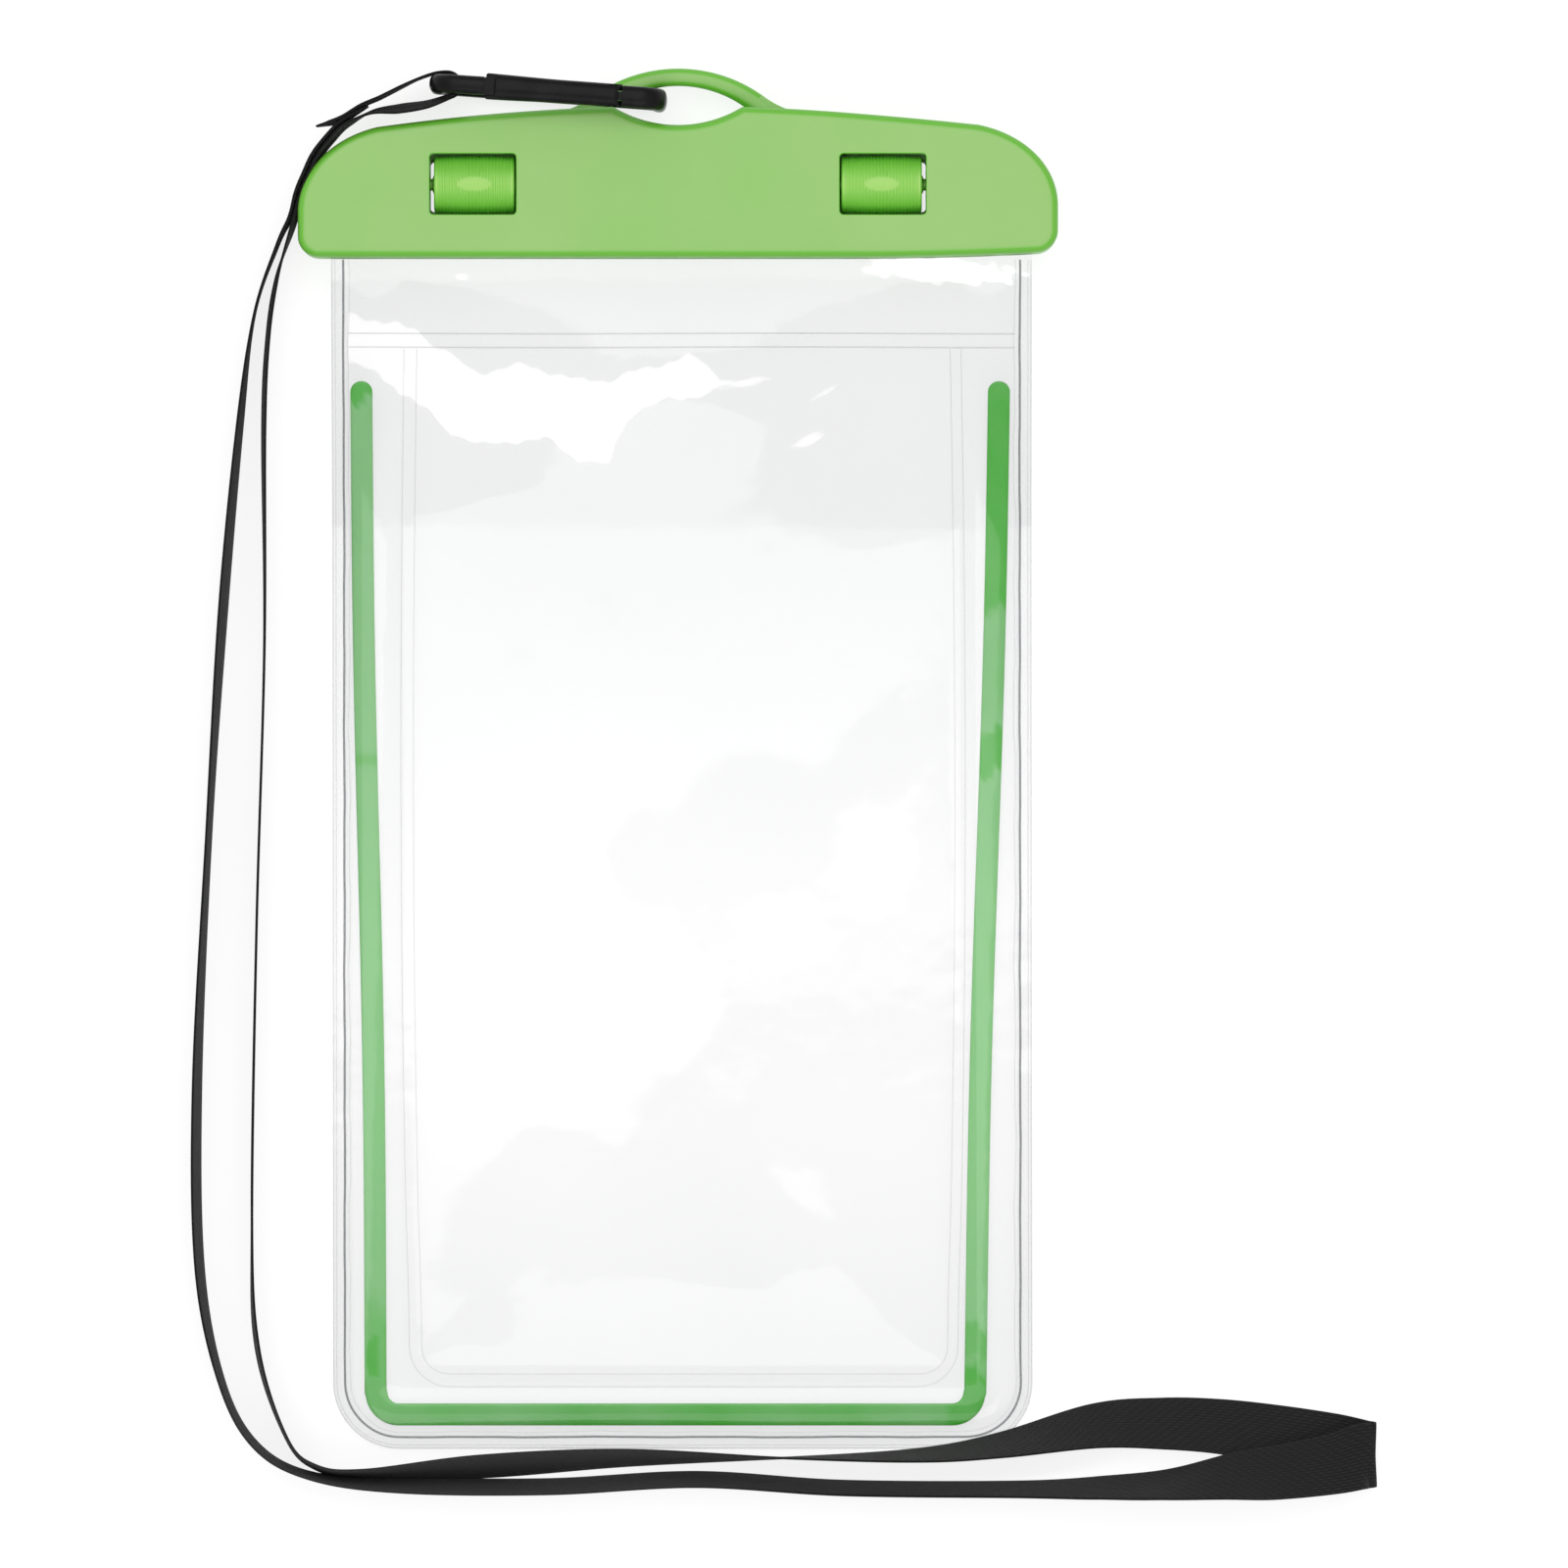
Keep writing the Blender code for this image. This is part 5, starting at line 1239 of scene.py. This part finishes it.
@dataclass
class SpringHook:
    """The flat ring of the hook, standing on edge, with its gate."""

    length: float = 0.0363
    height: float = 0.0172
    depth: float = 0.0024
    width: float = 0.0033
    width_left: float = 0.0028
    sole: float = 0.0026
    corner: float = 0.0032
    centre_x: float = -0.0198
    centre_y: float = 0.10175
    turn: float = math.radians(-4.2)
    lift: float = 0.0001
    gate_width: float = 0.0040
    gate_depth: float = 0.0028
    tip: float = -0.0095
    lap: float = 0.0016
    pivot: float = 0.0099
    pin: float = 0.0005
    tongue: float = 0.0013
    gap: float = 0.0003
    fit: float = 0.00012
    ridge: float = 0.00030
    eye: float = 0.00072
    taper: float = 0.10

    @property
    def top(self) -> float:
        """Height of the ring's upper side."""
        return self.lift + self.height

    @property
    def pivot_z(self) -> float:
        """Height of the gate's pivot."""
        return self.top - self.depth / 2

    def placed(self, along: Array, across: Array, z: Array) -> Array:
        """Places along and across the ring, turned about its middle and put into the pouch's frame."""
        c, s = math.cos(self.turn), math.sin(self.turn)
        along, across, z = np.broadcast_arrays(along, across, z)
        x, y = self.centre_x + along * c - across * s, self.centre_y + along * s + across * c
        return np.stack([x, y, z], axis=-1)

    def axle(self, name: str, reach: float, radii: float | Array, shares: tuple = (0.0, 1.0),
             sides: int = 40) -> bpy.types.Object:
        """A round bar along the gate's pivot, reaching as far to each side."""
        ends = self.placed(self.pivot, np.array((-reach, reach)), self.pivot_z)
        return round_bar(name, ends[0], ends[1], radii, shares, sides)

    def plate(self, name: str, outline: Array, half: float) -> bpy.types.Object:
        """A plate whose outline (along, z) lies in the ring's plane."""
        faces = [self.placed(outline[:, 0], side, outline[:, 1]) for side in (-half, half)]
        return build(name, tube(np.stack(faces)))

    def ring(self, metal: bpy.types.Material) -> bpy.types.Object:
        """The open ring: a superellipse swept round four corner arcs, slimmer on the side by the loop."""
        half = (self.length - self.depth) / 2
        low, high = self.lift + self.depth / 2, self.top - self.depth / 2
        r = self.corner
        corners = [(half - r, high - r, np.pi / 2), (half - r, low + r, 0.0),
                   (-half + r, low + r, -np.pi / 2), (-half + r, high - r, -np.pi)]
        arcs = []
        for x, z, start in corners:
            a = np.linspace(start, start - np.pi / 2, 16)
            arcs.append(np.column_stack([x + r * np.cos(a), z + r * np.sin(a)]))
        start_x = self.pivot + self.gate_depth / 2 + self.fit
        line = np.concatenate([[(start_x, high)]] + arcs + [[(self.tip - self.gap, high)]])
        line = resampled(line, 260)
        slope = unit(np.gradient(line, axis=0))
        out = np.column_stack([-slope[:, 1], slope[:, 0]])
        grow = ease(line[:, 1], low, low + r)
        upper = self.width_left + (self.width - self.width_left) * ease(line[:, 0], -half, half)
        wide = self.sole / 2 + (upper - self.sole) / 2 * grow
        c, s = swell(np.linspace(0.0, 2 * np.pi, 36, endpoint=False), 2.5)
        along = line[:, :1] + self.depth / 2 * c[None] * out[:, :1]
        z = line[:, 1:] + self.depth / 2 * c[None] * out[:, 1:]
        body = build("hook_ring", tube(self.placed(along, wide[:, None] * s[None], z)), metal)
        turn = np.linspace(np.pi / 2, 1.5 * np.pi, 20)
        eye = np.column_stack([self.pivot + self.eye * np.cos(turn), self.pivot_z + self.eye * np.sin(turn)])
        end = self.pivot + self.depth / 2 + 5 * self.gap
        eye = np.concatenate([eye, [(end, self.pivot_z - self.eye), (end, self.pivot_z + self.eye)]])
        reach = self.gate_depth - self.depth / 2 + self.fit
        turn = np.radians(np.linspace(-38.0, -3.0, 10))
        cup = np.column_stack([self.pivot + reach * np.cos(turn), self.pivot_z + reach * np.sin(turn)])
        end = self.pivot + 1.3 * reach
        cup = np.concatenate([cup, [(end, cup[-1, 1]), (end, cup[0, 1])]])
        lip = rectangle(self.tip - 4 * self.gap, self.pivot_z + self.gap / 2,
                        self.tip + self.lap - self.gap, self.top - self.gap)
        added = [self.plate("tongue", eye, self.tongue / 2), self.plate("cup", cup, self.width / 2 * 0.97),
                 self.plate("lip", lip, self.width / 2 * 0.8)]
        return carve(body, added, [self.axle("pin_hole", self.tongue / 2 + self.gap, self.pin + self.gap)])

    def gate(self, metal: bpy.types.Material) -> bpy.types.Object:
        """The gate: a crowned bar with a round pivot end, a fork slot and a tip stepped under the lip."""
        low, high = self.top - self.gate_depth, self.top
        middle, r = (low + high) / 2, self.gate_depth / 2
        end = np.linspace(np.pi / 2, 0.0, 14)
        along = np.concatenate([stops([self.tip, self.tip + 0.0005, self.pivot], [0.1 * MM, 0.4 * MM]),
                                self.pivot + r * np.cos(end)[1:-1], [self.pivot + r * 0.995]])
        tall = np.concatenate([np.full(len(along) - 13, r), r * np.sin(end)[1:-1], [r * 0.10]])
        near = np.clip((along - self.tip) / 0.0004, 0.0, 1.0)
        taper = 1 - self.taper * ease(along, self.tip, self.tip + 0.012)
        wide = self.gate_width / 2 * taper * (0.86 + 0.14 * np.sqrt(1 - (1 - near) ** 2))
        phase = np.linspace(0.0, 2 * np.pi, 40, endpoint=False)
        c, s = swell(phase, 3.4)
        roof = self.ridge * (1 - np.abs(c + 0.1) / 1.1) * (s > 0)
        z = middle + tall[:, None] * s[None] + (roof - self.ridge * (s > 0)) * (tall[:, None] / r)
        body = build("hook_gate_bar", tube(self.placed(along[:, None], wide[:, None] * c[None], z)), metal)
        step = rectangle(self.tip - self.lap, self.pivot_z - self.gap / 2,
                         self.tip + self.lap, high + self.gap)
        slot = rectangle(self.pivot - self.eye - self.fit, low - self.gap,
                         self.pivot + self.gate_depth, self.pivot_z + self.eye + self.fit)
        return carve(body, [], [self.plate("step", step, self.gate_width),
                                self.plate("slot", slot, self.tongue / 2 + self.fit),
                                self.axle("gate_hole", self.gate_width / 2 + self.gap, self.pin + self.gap)])

    def rivet(self, metal: bpy.types.Material) -> bpy.types.Object:
        """The gate's pin, flush with the gate's sides and rounded at its ends."""
        reach = self.gate_width / 2 * (1 - self.taper) - self.fit / 4
        radii = self.pin * np.array([0.8, 1.0, 1.0, 0.8])
        pin = self.axle("gate_pin_rivet", reach, radii, (0.0, 0.02, 0.98, 1.0), 24)
        pin.data.materials.append(metal)
        return pin

    def assemble(self, metal: bpy.types.Material) -> list[bpy.types.Object]:
        """Build the ring, the gate and its pin.

        Returns:
            The pieces that hang on the lanyard.
        """
        ring, gate, pin = self.ring(metal), self.gate(metal), self.rivet(metal)
        dress(ring, Body.POUCH, ("hook_frame",))
        dress(gate, Body.GATE, ("hook_gate",))
        dress(pin, Body.POUCH, ("gate_pin",))
        return [ring, gate, pin]


# Lanyard


# Route of the webbing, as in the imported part: centre (x, y, z) and the level part (x, y) of the direction
# across the band, from the cut tail round the hook, down beside the bag, to the fold and back.
ROUTE = np.array([
    (-0.0540, 0.0968, 0.0069, 0.00, 0.04), (-0.0526, 0.0974, 0.0073, 0.01, 0.03),
    (-0.0509, 0.0982, 0.0077, 0.01, 0.02), (-0.0485, 0.0997, 0.0080, 0.02, 0.01),
    (-0.0455, 0.1010, 0.0083, 0.02, 0.01), (-0.0423, 0.1026, 0.0085, 0.02, 0.00),
    (-0.0402, 0.1036, 0.0086, 0.02, -0.02), (-0.0381, 0.1044, 0.0086, 0.02, -0.02),
    (-0.0364, 0.1048, 0.0087, 0.02, -0.02), (-0.0347, 0.1047, 0.0087, 0.02, 0.00),
    (-0.0335, 0.1040, 0.0087, 0.00, 0.00), (-0.0330, 0.1027, 0.0087, 0.00, 0.00),
    (-0.0338, 0.1015, 0.0087, 0.02, -0.05), (-0.0352, 0.1010, 0.0087, 0.03, -0.10),
    (-0.0385, 0.0999, 0.0086, 0.03, -0.14), (-0.0426, 0.0993, 0.0083, 0.03, -0.16),
    (-0.0468, 0.0988, 0.0080, 0.00, -0.08), (-0.05065, 0.09685, 0.0074, -0.03, 0.01),
    (-0.05305, 0.09445, 0.0068, -0.04, 0.01), (-0.0549, 0.0920, 0.0063, -0.04, 0.01),
    (-0.0563, 0.08915, 0.0059, -0.04, 0.01), (-0.0575, 0.08635, 0.0056, -0.04, 0.00),
    (-0.0590, 0.0812, 0.0053, -0.03, 0.00), (-0.0614, 0.0735, 0.0052, 0.07, 0.00),
    (-0.0628, 0.0640, 0.0052, 0.08, 0.00), (-0.0634, 0.0500, 0.0052, 0.08, 0.00),
    (-0.0633, 0.0170, 0.0052, 0.035, 0.00), (-0.0645, -0.0260, 0.0052, 0.03, 0.00),
    (-0.0652, -0.0700, 0.0052, 0.03, 0.00), (-0.0644, -0.0900, 0.0052, 0.09, 0.01),
    (-0.0600, -0.1038, 0.0052, 0.05, 0.05), (-0.0555, -0.1084, 0.0052, 0.02, 0.11),
    (-0.0480, -0.1094, 0.0052, 0.00, 0.16), (-0.0300, -0.1083, 0.0052, 0.00, 0.38),
    (-0.0078, -0.1070, 0.0052, 0.00, 0.29), (0.0177, -0.1070, 0.0055, 0.00, 0.02),
    (0.0372, -0.1065, 0.0069, 0.00, -0.17), (0.0500, -0.1049, 0.0071, 0.00, -0.36),
    (0.0642, -0.1021, 0.0051, 0.00, -0.65), (0.0743, -0.1018, 0.0041, 0.00, -0.76),
    (0.0830, -0.1023, 0.0031, 0.00, -0.82), (0.0915, -0.1036, 0.0025, 0.00, -0.91),
    (0.1001, -0.1052, 0.0016, 0.00, -0.98), (0.1046, -0.1063, 0.0012, 0.00, -1.00),
    (0.1066, -0.1066, 0.0027, 0.00, -1.00), (0.1044, -0.1069, 0.0042, 0.00, -0.99),
    (0.1001, -0.1080, 0.0055, 0.00, -0.88), (0.0915, -0.1092, 0.0080, 0.00, -0.77),
    (0.0830, -0.1099, 0.0106, 0.00, -0.62), (0.0743, -0.1109, 0.0098, 0.00, -0.41),
    (0.0657, -0.1114, 0.0078, 0.00, -0.31), (0.0522, -0.1118, 0.0055, 0.00, -0.21),
    (0.0252, -0.1116, 0.0052, 0.00, -0.19), (0.0027, -0.1103, 0.0052, 0.00, -0.20),
    (-0.0198, -0.1114, 0.0052, 0.00, -0.20), (-0.0423, -0.1112, 0.0052, 0.00, -0.19),
    (-0.0560, -0.1098, 0.0052, -0.03, -0.07), (-0.0645, -0.1052, 0.0052, -0.05, -0.03),
    (-0.0698, -0.0955, 0.0052, -0.06, 0.00), (-0.0732, -0.0780, 0.0052, -0.10, 0.00),
    (-0.0736, -0.0500, 0.0052, -0.10, 0.00), (-0.0718, -0.0115, 0.0052, -0.05, 0.00),
    (-0.0696, 0.0230, 0.0052, -0.10, 0.00), (-0.0670, 0.0515, 0.0052, -0.06, 0.00),
    (-0.0648, 0.0680, 0.0052, 0.02, 0.00), (-0.0613, 0.0785, 0.0052, 0.00, 0.00),
    (-0.0593, 0.0828, 0.0053, -0.03, 0.00), (-0.0583, 0.0865, 0.0056, -0.04, 0.00),
    (-0.0571, 0.0894, 0.0059, -0.04, 0.01), (-0.0557, 0.0923, 0.0063, -0.04, 0.01),
    (-0.0537, 0.0949, 0.0068, -0.04, 0.01), (-0.0512, 0.0974, 0.0074, -0.03, 0.01),
    (-0.0479, 0.09945, 0.0079, 0.01, -0.02),
])


@dataclass
class Lanyard:
    """The webbing band, one closed loop with a sewn eye round the hook's end."""

    width: float = 0.0100
    thickness: float = 0.00042
    samples: int = 1500
    around: int = 32
    stitch_rows: tuple = (-0.0030, 0.0030)
    stitch_radius: float = 0.00018
    stitch_half: float = 0.00055

    def curve(self, count: int) -> Array:
        """Catmull-Rom curve through the route: the cubic of four neighbours at each place."""
        padded = np.concatenate([[2 * ROUTE[0] - ROUTE[1]], ROUTE, [2 * ROUTE[-1] - ROUTE[-2]]])
        place = np.linspace(0.0, len(ROUTE) - 1, count)
        index = np.minimum(place.astype(int), len(ROUTE) - 2)
        t = (place - index)[:, None]
        a, b, c, d = (padded[index + k] for k in range(4))
        square, cube = 2 * a - 5 * b + 4 * c - d, 3 * b - a - 3 * c + d
        return 0.5 * (2 * b + (c - a) * t + square * t ** 2 + cube * t ** 3)

    def axes(self, curve: Array) -> tuple[Array, Array, Array, Array]:
        """Centre, and the directions along, across and square to the band, from its leans."""
        centre, lean = curve[:, :3], curve[:, 3:]
        along = unit(np.gradient(centre, axis=0))
        upright = np.sqrt(np.clip(1 - np.sum(lean ** 2, axis=1), 0.0, 1.0))
        across = np.column_stack([lean, upright])
        across = unit(across - along * np.sum(across * along, axis=1)[:, None])
        return centre, along, across, np.cross(along, across)

    def band(self, finish: bpy.types.Material) -> bpy.types.Object:
        """The band: a thin superellipse swept along the curve, with U and V in metres along and across it."""
        centre, _, across, normal = self.axes(self.curve(self.samples))
        c, s = swell(np.linspace(0.0, 2 * np.pi, self.around, endpoint=False), 7.0)
        rings = (centre[:, None, :] + self.width / 2 * c[None, :, None] * across[:, None, :]
                 + self.thickness / 2 * s[None, :, None] * normal[:, None, :])
        u, v = np.broadcast_arrays(lengths(centre)[:, None], (c * self.width / 2)[None])
        return build("lanyard_webbing", tube(rings, uv=np.stack([u, v], axis=2)), finish, 50.0)

    def stitches(self, finish: bpy.types.Material) -> bpy.types.Object:
        """Thread floats on one face of the sewn eye: short capsules in two rows along the band."""
        centre, along, across, normal = self.axes(self.curve(2000))
        run = lengths(centre)
        skins = []
        phase = np.linspace(0.0, 2 * np.pi, 10, endpoint=False)
        swing = np.linspace(-np.pi / 2, np.pi / 2, 7)
        reach = np.sin(swing) * self.stitch_half
        thick = np.maximum(np.cos(swing), 0.15) * self.stitch_radius
        for start in np.arange(1.0, 6.5, 1.4) * MM:
            k = int(np.searchsorted(run, start))
            for row in self.stitch_rows:
                middle = centre[k] + across[k] * row + normal[k] * (self.thickness / 2)
                ring = np.cos(phase)[:, None] * across[k] + np.sin(phase)[:, None] * normal[k]
                skins.append(tube(middle + reach[:, None, None] * along[k] + thick[:, None, None] * ring))
        return build("lanyard_stitches", merged(skins), finish)

    def assemble(self, webbing: bpy.types.Material, thread: bpy.types.Material,
                 hung: list[bpy.types.Object]) -> None:
        band = self.band(webbing)
        dress(band, Body.POUCH, ("lanyard_strap",))
        stitches = self.stitches(thread)
        dress(stitches, Body.POUCH)


# Studio


@dataclass(frozen=True)
class Lamp:
    """A soft rectangular lamp that faces the middle of the pouch."""

    name: str
    place: tuple
    size: tuple
    watts: float

    def hang(self) -> None:
        """Put the lamp into the scene."""
        data = bpy.data.lights.new(self.name, "AREA")
        data.shape, data.energy = "RECTANGLE", self.watts
        data.size, data.size_y = self.size
        lamp = bpy.data.objects.new(self.name, data)
        away = unit(np.array(self.place))
        lamp.location = self.place
        lamp.rotation_euler = (0.0, math.acos(away[2]), math.atan2(away[1], away[0]))
        bpy.context.collection.objects.link(lamp)


@dataclass
class Studio:
    """Pale floor, soft lamps, white surroundings and the camera straight above the pouch."""

    field: float = 0.240
    lens: float = 400.0
    sensor: float = 36.0
    field_z: float = 0.004
    aim: tuple = (0.0162, -0.0039)
    floor_half: float = 2.0
    floor_z: float = -0.00015
    floor_glow: float = 0.80
    floor_seen: tuple = (0.34, 0.34, 0.34, 1.0)
    floor_plain: tuple = (0.80, 0.80, 0.80, 1.0)
    world_light: float = 0.55
    lamps: tuple = (Lamp("key", (-0.10, 0.72, 2.00), (1.7, 2.4), 17.5),
                    Lamp("fill", (0.10, -0.95, 1.35), (1.0, 1.5), 5.5))

    def camera(self) -> None:
        """The camera looks straight down and takes in the field at the height field_z."""
        data = bpy.data.cameras.new("camera")
        data.lens, data.sensor_width = self.lens, self.sensor
        data.clip_start, data.clip_end = 0.01, 20.0
        camera = bpy.data.objects.new("camera", data)
        camera.location = (*self.aim, self.field * self.lens / self.sensor + self.field_z)
        bpy.context.collection.objects.link(camera)
        bpy.context.scene.camera = camera

    def floor(self) -> None:
        """A pale floor that shows white to the camera where no shadow lies."""
        corners = rectangle(-1, -1, 1, 1) * self.floor_half
        s = Shader("pale_floor")
        plain = s.add("BsdfDiffuse", {"Color": self.floor_plain})
        pale = s.add("BsdfDiffuse", {"Color": self.floor_seen})
        glow = s.add("Emission", {"Color": WHITE, "Strength": self.floor_glow})
        white = s.add("AddShader", {0: pale.outputs[0], 1: glow.outputs[0]})
        both = s.add("MixShader", {0: s.seen(), 1: plain.outputs[0], 2: white.outputs[0]})
        floor = build("floor", Skin(raised(corners, self.floor_z), np.array([[0, 1, 2, 3]])), s.close(both))

    def world(self) -> None:
        """Soft surroundings for lighting, white where the camera, glass or gloss sees them."""
        s = Shader("surroundings", world=True)
        strength = s.add("MapRange", {0: s.seen(), 3: self.world_light, 4: 1.0}).outputs[0]
        bpy.context.scene.world = s.close(s.add("Background", {"Strength": strength}))

    def assemble(self) -> None:
        """Set up everything round the pouch."""
        self.camera()
        self.floor()
        self.world()
        for lamp in self.lamps:
            lamp.hang()
        bpy.context.scene.view_settings.view_transform = "Standard"


def main() -> None:
    """Build the pouch from its sub-assemblies and report each piece."""
    logging.basicConfig(level=logging.INFO, format="%(name)s: %(message)s")
    Studio().assemble()
    film = ClearFilm("clear_film").make()
    seam = ClearFilm("grey_seam", milk=0.02).make()
    green = MouldedPlastic("clamp_plastic").make()
    # the knob's paler face colour is painted sheen and its deeper edge colour painted shade
    knob_green = MouldedPlastic("knob_plastic", face=(0.42, 0.79, 0.165, 1.0), edge=(0.25, 0.69, 0.080, 1.0),
                                mottle=0.08, satin=0.42, polish=0.42).make()
    metal = BlackCoat("black_coat").make()
    hung = SpringHook().assemble(metal)
    Lanyard().assemble(Webbing("black_webbing").make(), SewingThread("black_thread").make(), hung)
    bag = FilmBag()
    bag.assemble(film)
    Welds(bag).assemble(film, seam)
    GlowStrip(bag).assemble(GlowPlastic("glow_plastic").make())
    ClampBar().assemble(green, SoftFoam("seal_foam").make())
    for side in Side:
        BarrelKnob(side).assemble(knob_green)


if __name__ == "__main__":
    main()
